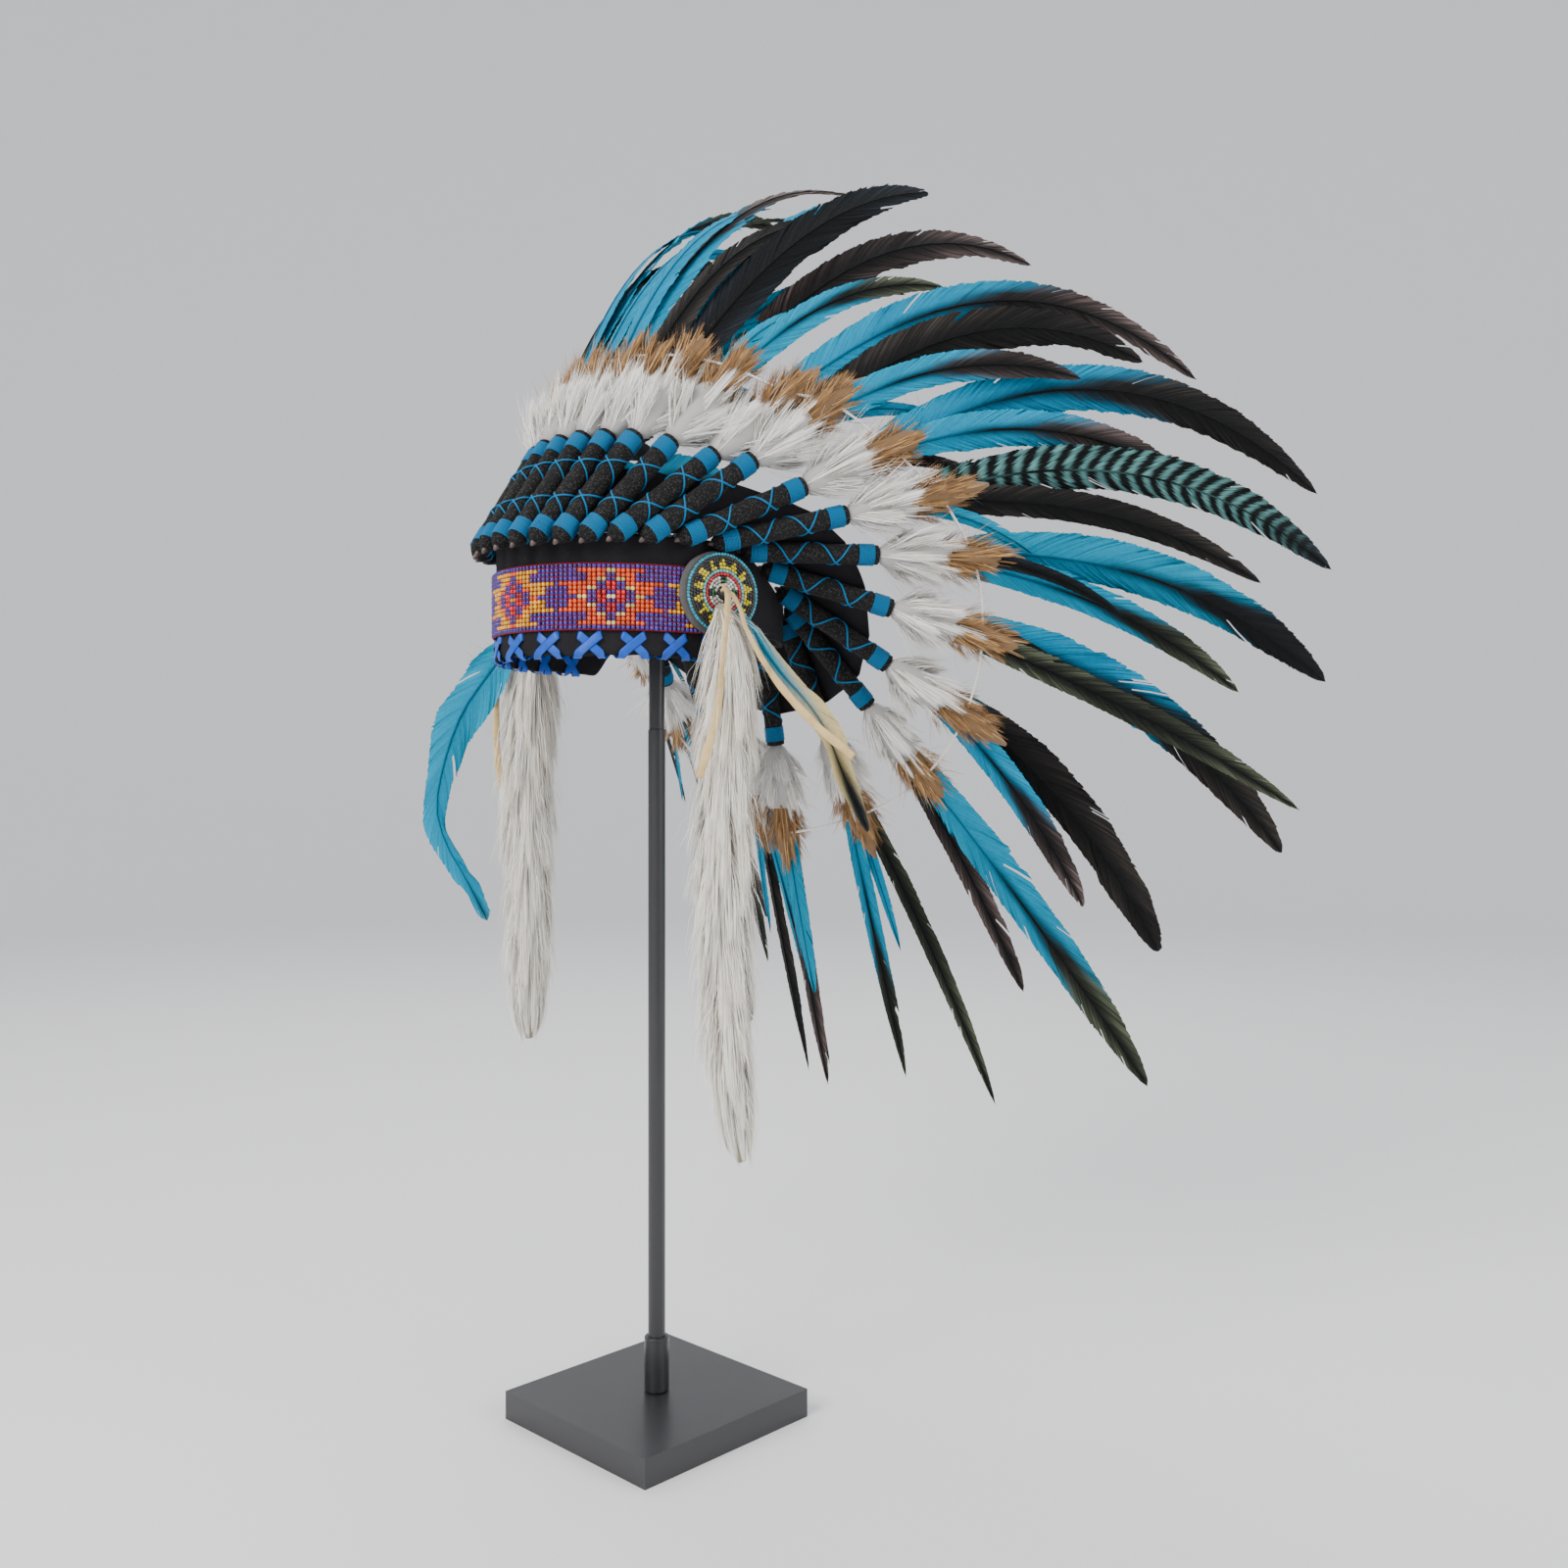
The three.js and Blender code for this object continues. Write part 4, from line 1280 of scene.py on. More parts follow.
@dataclass
class BeadStrip:
    """The woven strip of beads on the brow, with charted stars."""

    reach: float = 122.0
    low: float = 471.0
    height: float = 36.0
    rows: int = 15
    columns: int = 94
    star_period: int = 23
    seed: int = 11
    bead: tuple = (8, 5, 0.42, 0.9)
    bead_size: Colour = (1.24, 1.22, 1.16)
    bead_offset: float = 1.42
    warp: tuple[float, float] = (1.9, 0.34)
    edge_warp: tuple[float, float] = (1.2, 0.55)
    warp_stations: int = 150
    warp_sides: int = 5
    chart: tuple[str, ...] = (
        "", "obbbbbb", "gobbbb", "ggobb", "rggobbbbbbb", "rrggobbbbb", "grrggobbb", "cgrrggob",
    )

    def colour(self, row: int, column: float) -> Colour:
        """Give a bead's colour. The chart's rows go from the edge to the middle of the strip.

        Args:
            row: Its row from the lower edge.
            column: Its column from the middle of the strip.

        Returns:
            The colour.
        """
        star = round(column / self.star_period)
        away = abs(round(column - star * self.star_period))
        marks = self.chart[min(row, self.rows - 1 - row)]
        names = {"g": "purple", "b": "orange", "o": "pale", "r": "red", "c": "cream"}
        if star % 2 == 0:
            names.update(b="yellow", o="orange", c="yellow")
        return BEAD_COLOURS[names[marks[away] if away < len(marks) else "g"]]

    def build(self) -> None:
        """Make the beads with the threads that hold them."""
        build = Build(self.seed)
        rng = build.rng
        pitch = 2 * self.reach / self.columns
        step = self.height / self.rows
        row, column = np.meshgrid(np.arange(self.rows), np.arange(self.columns), indexing="ij")
        row, middle = row.reshape(-1), column.reshape(-1) - (self.columns - 1) / 2
        count = len(row)
        arc = middle * pitch + rng.normal(0, 0.05, count)
        height = self.low + (row + 0.5) * step + rng.normal(0, 0.06, count)
        places = LOOP.place(arc, self.bead_offset + rng.normal(0, 0.06, count), height)
        out = LOOP.outward(arc)
        size = 1 + rng.normal(0, 0.035, count)[:, None]
        lean = rng.normal(0, 0.05, (count, 2))
        rise = unit(UP + lean[:, :1] * out + lean[:, 1:] * np.cross(UP, out))
        side = unit(np.cross(rise, out))
        out = np.cross(side, rise)
        wide, deep, tall = self.bead_size
        axes = np.stack([side * wide * size, out * deep * size, rise * size * tall], 1)
        tints = np.array([self.colour(int(r), float(c)) for r, c in zip(row, middle)])
        tints = tints * (1 + rng.normal(0, 0.14, (count, 1)))
        purple = tints[:, 1] < 0.06
        tints[purple] *= 1 + rng.uniform(-0.45, 0.5, (purple.sum(), 3)) * np.array([1, 0.6, 0.5])
        add_beads(build, bead_shape(*self.bead), places, axes, tints)
        share = np.linspace(-1, 1, self.warp_stations)
        run = share * self.reach
        outward = LOOP.outward(run)
        bob = 0.12 * np.cos(run / pitch * np.pi)
        for line in range(self.rows + 1):
            offset, thick = self.edge_warp if line in (0, self.rows) else self.warp
            centres = LOOP.place(run, offset + bob, self.low + line * step + 0 * share)
            shape = tube(centres, outward * thick, UP * thick + 0 * outward, self.warp_sides)
            build.add(shape, grain=grain(np.repeat(run, self.warp_sides), 0, 0.5), material=1)
        finishes = [Glass("seed_glass"), Thread("red_warp", screen_colour(176, 20, 22), 0.5)]
        build.piece("bead_weave", finishes, "seed_beads", "bead_strip")


@dataclass
class Rosette:
    """A round of beads sewn in rings on leather."""

    side: str
    radius: float = 23.0
    rings: int = 11
    ring_step: float = 1.9
    bead_width: float = 1.93
    triangles: int = 14
    bead: tuple = (8, 5, 0.4, 0.88)
    bead_size: Colour = (0.93, 0.92, 0.97)
    bead_sink: float = 0.62
    ring_turn: float = 0.37
    face_inset: float = 0.6
    face_thick: float = 1.5
    backing_shift: tuple[float, float] = (-2.4, -0.4)
    sides: int = 72
    dome: tuple = ((0, 12.65, 23), (3.0, 2.7, 1.8))

    def colour(self, ring: int, turn: float) -> Colour:
        """Give a bead's colour.

        Args:
            ring: Its ring from the edge.
            turn: Its place round the ring, as a share of a turn.

        Returns:
            The colour.
        """
        from_tip = abs((turn * self.triangles) % 1.0 - 0.5) * 2
        from_quarter = abs((turn * 4 + 0.5) % 1.0 - 0.5)
        plain = {0: "turquoise", 5: "light", 6: "red", 10: "black"}
        triangle = {1: 0.0, 2: 0.26, 3: 0.5, 4: 0.76}
        spots = {7: (0.1, "black"), 8: (0.2, "green"), 9: (0.1, "black")}
        if ring in plain:
            return BEAD_COLOURS[plain[ring]]
        if ring in triangle:
            return BEAD_COLOURS["lemon" if from_tip < triangle[ring] else "black"]
        width, spot = spots[ring]
        return BEAD_COLOURS[spot if from_quarter < width else "white"]

    def build(self) -> None:
        """Make the beads and the leather under them."""
        place = SIDES[self.side]
        build = Build(21 if self.side == "left" else 22)
        rng = build.rng
        places, axes, tints = [], [], []
        for ring in range(self.rings):
            radius = self.radius - self.ring_step / 2 - ring * self.ring_step
            count = max(3, int(TURN * radius / self.bead_width))
            share = (np.arange(count) + rng.normal(0, 0.03, count) + self.ring_turn * ring) / count
            turn = share * TURN
            away = radius + rng.normal(0, 0.05, count)
            out = place.beads + np.interp(away, *self.dome) - self.bead_sink
            places.append(place.on_disc(out, away * np.cos(turn), away * np.sin(turn)))
            spoke = spokes(turn, place.back, UP)
            run = spokes(turn, UP, -place.back)
            size = 1 + rng.normal(0, 0.04, count)[:, None]
            outward = place.out + 0 * spoke
            ways = zip((spoke, outward, run), self.bead_size)
            axes.append(np.stack([way * wide * size for way, wide in ways], 1))
            tints += [self.colour(ring, float(s % 1.0)) for s in share]
        tints = np.array(tints) * (1 + rng.normal(0, 0.1, (len(tints), 1)))
        shape = bead_shape(*self.bead)
        add_beads(build, shape, np.concatenate(places), np.concatenate(axes), tints)
        disc = self._disc(place, self.radius - self.face_inset, place.beads, self.face_thick, (0.0, 0.0))
        build.add(disc, material=1)
        leather = Suede("rosette_leather", (0.068, 0.065, 0.062), 1.8, 0.2)
        finishes = [Glass("rosette_glass"), leather]
        build.piece("beaded_rosette_" + self.side, finishes, "rosette_beads", "rosette_" + self.side)
        under = Build().add(self._disc(place, place.radius, 0.0, place.backing, self.backing_shift))
        node = "rosette_backing_" + self.side
        under.piece("leather_round_" + self.side, [leather], "backing_leather", node)

    def _disc(
        self, place: RosettePlace, radius: float, out: float, thick: float, middle: tuple[float, float]
    ) -> Shape:
        """Make a disc with a soft edge that was cut by hand.

        Args:
            place: The rosette's place.
            radius: The disc's radius.
            out: How far from the seat it starts.
            thick: Its thickness.
            middle: How far its middle lies to the back and up.

        Returns:
            Points and faces.
        """
        turn = circle(self.sides)
        uneven = 1 + 0.008 * np.sin(3 * turn) + 0.005 * np.sin(8 * turn + 1)
        outline = ((0.001, 0.0), (0.97, 0.0), (1.0, 0.3), (1.0, 0.7), (0.97, 1.0), (0.001, 1.0))
        rings = []
        for share, height in outline:
            away = share * radius * uneven
            back, up = middle[0] + away * np.cos(turn), middle[1] + away * np.sin(turn)
            rings.append(place.on_disc(out + thick * height, back, up))
        return np.concatenate(rings), [grid_faces(len(outline), self.sides)]


@dataclass
class Rolls:
    """The wrapped quills: cloth, two thread wraps, crossed threads and a quill's tip."""

    body: float = 6.0
    outer_rim: float = 2.2
    turns: int = 12
    crossings: float = 2.0
    rows: int = 20
    helix_steps: int = 42
    thread_sides: int = 5
    thread_size: tuple[float, float] = (0.55, 0.4)
    inner_profile: tuple = ((-5.6, -5.5, -3.6, -1.6), (0.3, 2.6, 4.0, 5.2))
    outer_profile: tuple = ((0.5, 0.9, 1.0), (5.3, 3.0, 0.4))
    quill_profile: tuple = ((-5.4, -6.0, -6.9, -7.8, -8.1), (1.7, 1.6, 1.3, 0.8, 0.05))

    def build(self) -> None:
        """Make the rolls."""
        cloth, thread = Weave("roll_weave"), Thread("blue_thread")
        quill = Smooth("quill", (0.1, 0.065, 0.055), (0.03, 0.02, 0.02), 0.3)
        for index in range(FAN.count):
            name = f"{index + 1:02d}"
            build = self._roll(index)
            build.piece("wrapped_roll_" + name, [cloth, thread, quill], "roll_cloth", "roll_" + name)

    def _lathe(self, build: Build, index: int, radius: Array, height: Array,
               sides: int, material: int, tone: "Array | float" = 0.5) -> None:
        """Turn a profile round a roll's axis, open at its ends.

        Args:
            build: The mesh that grows.
            index: The roll.
            radius: The profile's radii.
            height: Its distances along the roll.
            sides: Points round it.
            material: The material's number.
            tone: Its tone, a profile point each; the wraps give their bulge here, which paints shade into
                the grooves between turns.
        """
        turn = circle(sides)
        spoke = spokes(turn, FAN.beside[index], FAN.face[index])
        points = FAN.on(index, height[:, None, None]) + radius[:, None, None] * spoke
        lie = grain(turn * self.body, height[:, None], np.reshape(tone, (-1, 1)))
        build.add((points, [grid_faces(len(height), sides)]), grain=lie, material=material)

    def _roll(self, index: int) -> Build:
        """Make one roll.

        Args:
            index: Its number round the ring.

        Returns:
            Its mesh.
        """
        build = Build(100 + index)
        low, high = FAN.inner_end, FAN.outer_end
        height = np.linspace(low, high, self.rows)
        share = (height - low) / (high - low)
        uneven = 0.12 * np.sin(height / 5 + index) + build.rng.normal(0, 0.04, self.rows)
        inner, outer, quill = map(np.array, (self.inner_profile, self.outer_profile, self.quill_profile))
        radius = np.concatenate([inner[1], self.body - 0.25 * share + uneven, outer[1]])
        self._lathe(build, index, radius, np.concatenate([low + inner[0], height, high + outer[0]]), 24, 0)
        outer_wrap = high - FAN.wrap_width - self.outer_rim
        step = np.arange(self.turns * 3 + 1) / 3
        bulge = np.abs(np.sin(np.pi * step)) ** 0.6
        for start in (low, outer_wrap):
            radius = self.body + 0.05 + 0.45 * bulge + 0.05 * np.sin(step * 1.7 + index)
            radius[[0, -1]] = self.body - 0.4
            # The bulge is also the tone, which paints shade into the grooves between turns.
            self._lathe(build, index, radius, start + step * FAN.wrap_width / self.turns, 20, 1, bulge)
        for hand in (-1, 1):
            self._helix(build, index, hand, low + FAN.wrap_width, outer_wrap)
        self._lathe(build, index, quill[1], low + quill[0], 10, 2)
        return build

    def _helix(self, build: Build, index: int, hand: int, low: float, high: float) -> None:
        """Lay one of the two crossed threads between the wraps.

        Args:
            build: The mesh that grows.
            index: The roll.
            hand: 1 or -1, for the way that it turns.
            low: Where it starts.
            high: Where it ends.
        """
        share = np.linspace(0, 1, self.helix_steps)
        turn = hand * share * self.crossings * TURN - np.pi / 2
        spoke = spokes(turn, FAN.beside[index], FAN.face[index])
        height = (low + (high - low) * share)[:, None]
        centres = FAN.on(index, height) + spoke * (self.body + 0.15)
        side = unit(np.cross(unit(np.gradient(centres, axis=0)), spoke))
        wide, deep = self.thread_size
        lie = grain(np.repeat(share * 90, self.thread_sides), 0, 0.9)
        build.add(tube(centres, side * wide, spoke * deep, self.thread_sides), grain=lie, material=1)


@dataclass(frozen=True)
class Locks:
    """How hairs gather into locks, and how far the hairs and the strays among them swell."""

    round_weight: float
    along_weight: float
    least_pull: float
    pull_power: float
    lock_swell: tuple[float, float]
    hair_swell: tuple[float, float]
    strays: float
    stray_swell: tuple[float, float]

    def gather(
        self, build: Build, turn: Array, tip: Array, lock_turn: Array,
        lock_at: Array, scale: float = 1.0,
    ) -> tuple[Array, ...]:
        """Draw each hair towards its nearest lock.

        Args:
            build: The mesh that grows.
            turn: Each hair's angle.
            tip: How far along its tip lies.
            lock_turn: Each lock's angle.
            lock_at: How far along it lies.
            scale: The length that a distance of one along stands for.

        Returns:
            How far each hair turns, where its tip lies now, its swelling and its lock's number.
        """
        count, rng = len(turn), build.rng
        gap = np.abs(nearest_turn(turn[:, None] - lock_turn)) * self.round_weight
        near = (gap + np.abs(tip[:, None] - lock_at) * scale * self.along_weight).argmin(1)
        pull = rng.uniform(self.least_pull, 1.0, count) ** self.pull_power
        bend = nearest_turn(lock_turn[near] - turn) * pull
        tip = tip + (lock_at[near] - tip) * pull
        swell = rng.uniform(*self.lock_swell, len(lock_at))[near] * rng.uniform(*self.hair_swell, count)
        stray = rng.random(count) < self.strays
        return bend, tip, swell * np.where(stray, rng.uniform(*self.stray_swell, count), 1.0), near


def comb(
    build: Build, line: tuple[Array, ...], spoke: Array, skew: float, half_width: float,
    keep: float,
) -> tuple[Shape, Array]:
    """Make hairs that lie flat on the fur, give or take a skew.

    Args:
        build: The mesh that holds the random numbers.
        line: Each hair's root, middle and tip.
        spoke: The direction out of the fur there.
        skew: The widest angle off flat.
        half_width: Half a hair's width.
        keep: The share of it left before the tip.

    Returns:
        Points and faces, and each point's share along.
    """
    side = unit(np.cross(unit(line[2] - line[0]), spoke))
    angle = build.rng.uniform(-skew, skew, len(spoke))[:, None]
    return strands(*line, (side * np.cos(angle) + spoke * np.sin(angle)) * half_width, keep)


@dataclass(frozen=True)
class Tuft:
    """Fur round a roll's axis: where it starts and ends beyond the roll, and its outline."""

    roots: tuple[float, float]
    reach: tuple[float, float]
    outline_at: tuple[float, ...]
    outline: tuple[float, ...]
    count: int
    clumps: int
    colours: tuple[Colour, ...]
    half_width: float
    face_cut: float
    depth: float
    locks: Locks = Locks(9, 0.6, 0.3, 0.6, (0.72, 1.3), (0.92, 1.04), 0.09, (1.1, 1.8))

    def grow(self, build: Build, index: int) -> None:
        """Grow the hairs on a core, which fills the middle so that nothing shows through; it is darker, as
        painted shade deep in the fur.

        Args:
            build: The mesh that grows.
            index: The roll.
        """
        rng = build.rng
        root = rng.uniform(*self.roots, self.count)
        turn = rng.uniform(0, TURN, self.count)
        tip = root + rng.uniform(*self.reach, self.count)
        tip = np.minimum(tip, self.outline_at[-1] + rng.normal(0, 2.0, self.count))
        tip = root + (tip - root) * (1 - self.face_cut * np.abs(np.sin(turn)) ** 1.5)
        lock_turn = rng.uniform(0, TURN, self.clumps)
        lock_at = rng.uniform(self.roots[0] + self.reach[0], self.outline_at[-1], self.clumps)
        bend, tip, swell, near = self.locks.gather(build, turn, tip, lock_turn, lock_at)
        away = np.interp(tip, self.outline_at, self.outline) * swell
        start = 0.3 * np.interp(root, self.outline_at, self.outline)
        roots = self._around(index, root, turn, start)
        tips = self._around(index, tip, turn + bend, away)
        middles = self._around(index, root + 0.5 * (tip - root), turn + bend, away * 0.8)
        spoke = unit(tips - FAN.on(index, FAN.outer_end + tip[:, None]))
        shape, along = comb(build, (roots, middles, tips), spoke, 0.9, self.half_width, 0.8)
        lock_tone = rng.random(self.clumps)[near]
        tone = np.repeat(0.5 * rng.random(self.count) + 0.5 * lock_tone, HAIR_POINTS)
        pick = np.array(self.colours)[rng.integers(0, len(self.colours), self.count)]
        build.add(shape, np.repeat(pick, HAIR_POINTS, 0), grain(along, 0, tone))
        radius = np.array(self.outline) * 0.6
        radius[[0, -1]] *= 0.3
        centres = FAN.on(index, FAN.outer_end + np.array(self.outline_at)[:, None])
        across, deep = FAN.beside[index] * radius[:, None], FAN.face[index] * self.depth * radius[:, None]
        # The core's dimmed colour and low tone are painted shade deep in the fur.
        build.add(tube(centres, across, deep, 10), scaled(self.colours[0], 0.55), (0, 0, 0.3))

    def _around(self, index: int, along: Array, turn: Array, away: Array) -> Array:
        """Give places by their distance beyond a roll, their angle and their distance off its axis."""
        spoke = spokes(turn, FAN.beside[index], FAN.face[index] * self.depth)
        return FAN.on(index, FAN.outer_end + along[:, None]) + spoke * away[:, None]


WHITE_FUR = (screen_colour(246, 243, 238), screen_colour(236, 230, 220), screen_colour(252, 251, 249))
BROWN_FUR = (
    screen_colour(178, 134, 82),
    screen_colour(150, 108, 62),
    screen_colour(120, 84, 50),
    screen_colour(204, 164, 110),
)
WHITE_TUFT = Tuft(
    (-1.5, 22.0), (22.0, 44.0), (-1.5, 3, 9, 20, 36, 64), (6.2, 11, 15.5, 18.5, 18.5, 14),
    1500, 30, WHITE_FUR, half_width=0.3, face_cut=0.42, depth=0.86,
)
BROWN_TUFT = Tuft(
    (32.0, 66.0), (10.0, 24.0), (32, 42, 56, 70, 90), (10, 15, 16, 13, 6),
    1150, 60, BROWN_FUR, half_width=0.27, face_cut=0.0, depth=0.9,
)


@dataclass
class Plumes:
    """Fur and feathers at the end of each roll."""

    start: float = 20.0
    steps: int = 24

    def line(self, index: int, feather: Feather) -> Path:
        """Give a feather's shaft, which bends more and more under its own weight.

        Args:
            index: The roll.
            feather: The feather.

        Returns:
            The shaft.
        """
        up, side = math.radians(feather.lift), math.radians(feather.lean) * FAN.side[index]
        begin = (
            FAN.along[index] * math.cos(up) * math.cos(side)
            + FAN.face[index] * math.sin(up)
            + FAN.beside[index] * math.cos(up) * math.sin(side)
        )
        share = (np.arange(self.steps) + 0.5)[:, None] / self.steps
        along = unit(begin + WEIGHT * feather.droop * share**1.5)
        place = FAN.on(index, FAN.outer_end + self.start)
        return Path(np.vstack([place, place + np.cumsum(along * feather.length / self.steps, 0)]))

    def build(self) -> None:
        """Make each plume's fur, its two long feathers and a short thin one beside them."""
        for index, spot in enumerate(FAN.rows):
            name = f"{index + 1:02d}"
            pair = f"plume_pair_{index // 2 + 1:02d}"
            fur = Build(300 + index)
            WHITE_TUFT.grow(fur, index)
            BROWN_TUFT.grow(fur, index)
            fur.piece("fluff_" + name, [Hair("plume_fur")], "white_fur", pair)
            build = Build(fur.rng)
            for feather in spot.feathers:
                self._feather(build, index, feather)
            kind = TEAL if spot.feathers[0].kind in (DARK, BARRED) else DARK
            length, lift, lean = (fur.rng.uniform(*ends) for ends in ((95, 150), (-8, 10), (-9, 9)))
            self._feather(build, index, Feather(length, 0.9, lift, lean, kind, 9.0))
            build.piece("feathers_" + name, [Barbs("barbs")], "feather", pair)

    def _feather(self, build: Build, index: int, feather: Feather) -> None:
        """Grow one feather at the end of a roll."""
        path, face = self.line(index, feather), FAN.vane_face[index]
        VANE.grow(build, path, face, feather.width, feather.kind)


@dataclass(frozen=True)
class Look:
    """A feather's colouring: its kind, its length, and a tone of its own from 0 to 1."""

    kind: Kind
    length: float
    tone: float
    bright: Colour = screen_colour(4, 158, 192)
    night: Colour = screen_colour(12, 11, 13)
    cream: Colour = screen_colour(196, 178, 128)
    pale: Colour = screen_colour(92, 142, 140)
    bar_pitch: float = 11.0
    # Colours of the painted sheen on the dark parts of a feather.
    sheens: tuple = ((92, 84, 78), (170, 146, 142), (140, 150, 120), (60, 70, 80))

    def tint(self, place: Array, run: Array, streak: Array) -> Array:
        """Colour a vane's points.

        Args:
            place: Shares along the feather.
            run: Shares along the barb.
            streak: Each barb's own tone.

        Returns:
            One colour a point.
        """
        tone = self.tone
        blue = np.array(screen_colour(0, 106 + int(14 * tone), 150))
        bright, night, cream, pale = map(np.array, (self.bright, self.night, self.cream, self.pale))
        sheen = np.array(screen_colour(*self.sheens[int(tone * 3.99)]))
        place, run, streak = place[:, None], run[:, None], streak[:, None]
        # Painted sheen on the dark parts, stronger towards the barbs' ends and in bands along the feather.
        shine = smooth(run, 0.1, 1.0) * (0.25 + 0.75 * streak**2)
        shine = shine * (0.35 + 0.65 * smooth(np.sin(place * 9 + 20 * tone), -0.6, 1.0))
        dark = night + (sheen - night) * 0.55 * shine
        body = blue + (bright - blue) * (0.15 + 0.55 * streak * run + 0.3 * smooth(0.3 - place, 0, 0.3))
        if self.kind is Kind.BLUE:
            edge = place + 0.26 * (1 - run) ** 2 + 0.05 * (streak - 0.5)
            return body + (dark - body) * smooth(edge, 0.4 + 0.22 * tone, 0.56 + 0.22 * tone)
        if self.kind is Kind.TEAL:
            return body + (dark - body) * smooth(place + 0.1 * (1 - run), 0.9, 1.05) * 0.7
        if self.kind is Kind.PALE:
            half = body + (cream - body) * smooth(0.5 * run + place, 0.25, 0.8)
            return half + (dark - half) * smooth(place + 0.2 * (1 - run), 0.6, 0.95)
        if self.kind is Kind.BARRED:
            bars = np.sin(TURN * (place * self.length / self.bar_pitch + 1.7 * run + 0.2 * streak))
            barred = night + (pale - night) * smooth(bars, 0.05, 0.55) * (0.5 + 0.5 * streak)
            return barred + (dark - barred) * smooth(place, 0.7, 0.95)
        return dark + (bright - dark) * smooth(0.14 - place, 0.0, 0.14) * 0.8


@dataclass(frozen=True)
class Vane:
    """How barbs grow from a feather's shaft."""

    pitch: float = 1.0
    root_angle: float = 36.0
    tip_angle: float = 17.0
    shaft: float = 0.95
    steps: int = 4
    bar_steps: int = 16
    down_end: float = 0.16
    split_chance: float = 0.03
    cup: float = 0.25
    shaft_stations: int = 18
    shaft_sides: int = 6
    outline_at: tuple[float, ...] = (0.0, 0.08, 0.25, 0.5, 0.7, 0.85, 0.95, 1.0)
    outline: tuple[float, ...] = (0.25, 0.75, 1.0, 0.96, 0.78, 0.48, 0.2, 0.0)

    def grow(self, build: Build, path: Path, face: Array, width: float, kind: Kind) -> None:
        """Grow the shaft and both rows of barbs.

        Args:
            build: The mesh that grows.
            path: The shaft.
            face: Which way the vane faces.
            width: The vane's widest.
            kind: Its colouring.
        """
        look = Look(kind, path.length, build.rng.random())
        for side in (-1, 1):
            self._row(build, path, face, width * side, look)
        share = np.linspace(0, 1, self.shaft_stations)
        across, depth = cross_axes(path.tangent(share), face)
        thick = (self.shaft * (1 - 0.78 * share))[:, None]
        place = np.repeat(share, self.shaft_sides)
        shape = tube(path.read(share), across * thick, depth * thick, self.shaft_sides)
        build.add(shape, look.tint(place, 0 * place, 0 * place) * 0.5, (0, 0, 0.4))

    def _row(self, build: Build, path: Path, face: Array, width: float, look: Look) -> None:
        """Grow the barbs on one side, joined into a vane with a few splits.

        Args:
            build: The mesh that grows.
            path: The shaft.
            face: Which way the vane faces.
            width: The vane's widest, below zero for the other side.
            look: The feather's colouring.
        """
        rng = build.rng
        count = max(20, int(path.length / self.pitch))
        steps = self.bar_steps if look.kind is Kind.BARRED else self.steps
        share = np.clip((np.arange(count) + rng.uniform(0, 0.3, count)) / count, 0.0, 0.998)
        group = np.cumsum(rng.random(count) < self.split_chance)
        open_ = rng.normal(0, 1, group[-1] + 1)[group]
        at, along = path.read(share), path.tangent(share)
        across, depth = cross_axes(along, face)
        angle = np.radians(self.root_angle + (self.tip_angle - self.root_angle) * share)
        angle = angle + 0.03 * open_ + rng.normal(0, 0.008, count)
        half = abs(width) / 2 * np.interp(share, self.outline_at, self.outline)
        half = half * (1 + 0.05 * open_) * (1 + rng.normal(0, 0.02, count))
        reach = (half / np.sin(angle))[:, None]
        cup = self.cup + 0.04 * open_ + rng.normal(0, 0.02, count)
        outward = np.sign(width) * across * np.cos(cup)[:, None] + depth * np.sin(cup)[:, None]
        aim = along * np.cos(angle)[:, None] + outward * np.sin(angle)[:, None]
        tips = (at + aim * reach + along * (0.2 * reach))[:, None]
        middles = (at + aim * (0.55 * reach) - along * (0.06 * reach))[:, None]
        run = (np.linspace(0, 1, steps) ** 0.85)[None, :, None]
        barbs = (1 - run) ** 2 * at[:, None] + 2 * run * (1 - run) * middles + run**2 * tips
        split_from = rng.uniform(0.2, 0.8, count - 1) * steps
        split = np.where(np.diff(group) > 0, split_from, steps)
        joined = grid_faces(count, steps, False).reshape(count - 1, steps - 1, 4)
        joined = joined[np.arange(steps - 1)[None] < split[:, None]]
        runs = np.tile(run.reshape(-1), count)
        streak = np.repeat(rng.random(count), steps)
        tint = look.tint(np.repeat(share, steps), runs, streak)
        lie = grain(runs, np.repeat(np.arange(count), steps), streak)
        build.add((barbs, [joined.reshape(-1, 4)]), tint, lie)
        down = rng.random(count) < np.where(share < self.down_end, 0.9, 0.0)
        self._down(build, at[down], aim[down], reach[down], share[down], look)

    def _down(
        self, build: Build, at: Array, aim: Array, reach: Array, share: Array,
        look: Look,
    ) -> None:
        """Add down that stands off the vane at its base.

        Args:
            build: The mesh that grows.
            at: Where the barbs leave the shaft.
            aim: Which way they go.
            reach: How long they are.
            share: Shares along the feather.
            look: The feather's colouring.
        """
        rng = build.rng
        tips = at + unit(aim + rng.normal(0, 1, at.shape) * 0.4) * reach * 1.08
        middles = at + aim * 0.55 * reach
        wide = unit(np.cross(aim, rng.normal(0, 1, at.shape))) * 0.22
        shape, run = strands(at, middles, tips, wide, 0.6)
        tint = look.tint(np.repeat(share, HAIR_POINTS), run, 0.5 + 0 * run)
        build.add(shape, tint, grain(run, 0, 0.7))


VANE = Vane()
CURL = Vane(
    root_angle=40.0,
    outline_at=(0.0, 0.08, 0.25, 0.45, 0.7, 0.9, 1.0),
    outline=(0.4, 0.95, 1.0, 0.62, 0.45, 0.3, 0.0),
)


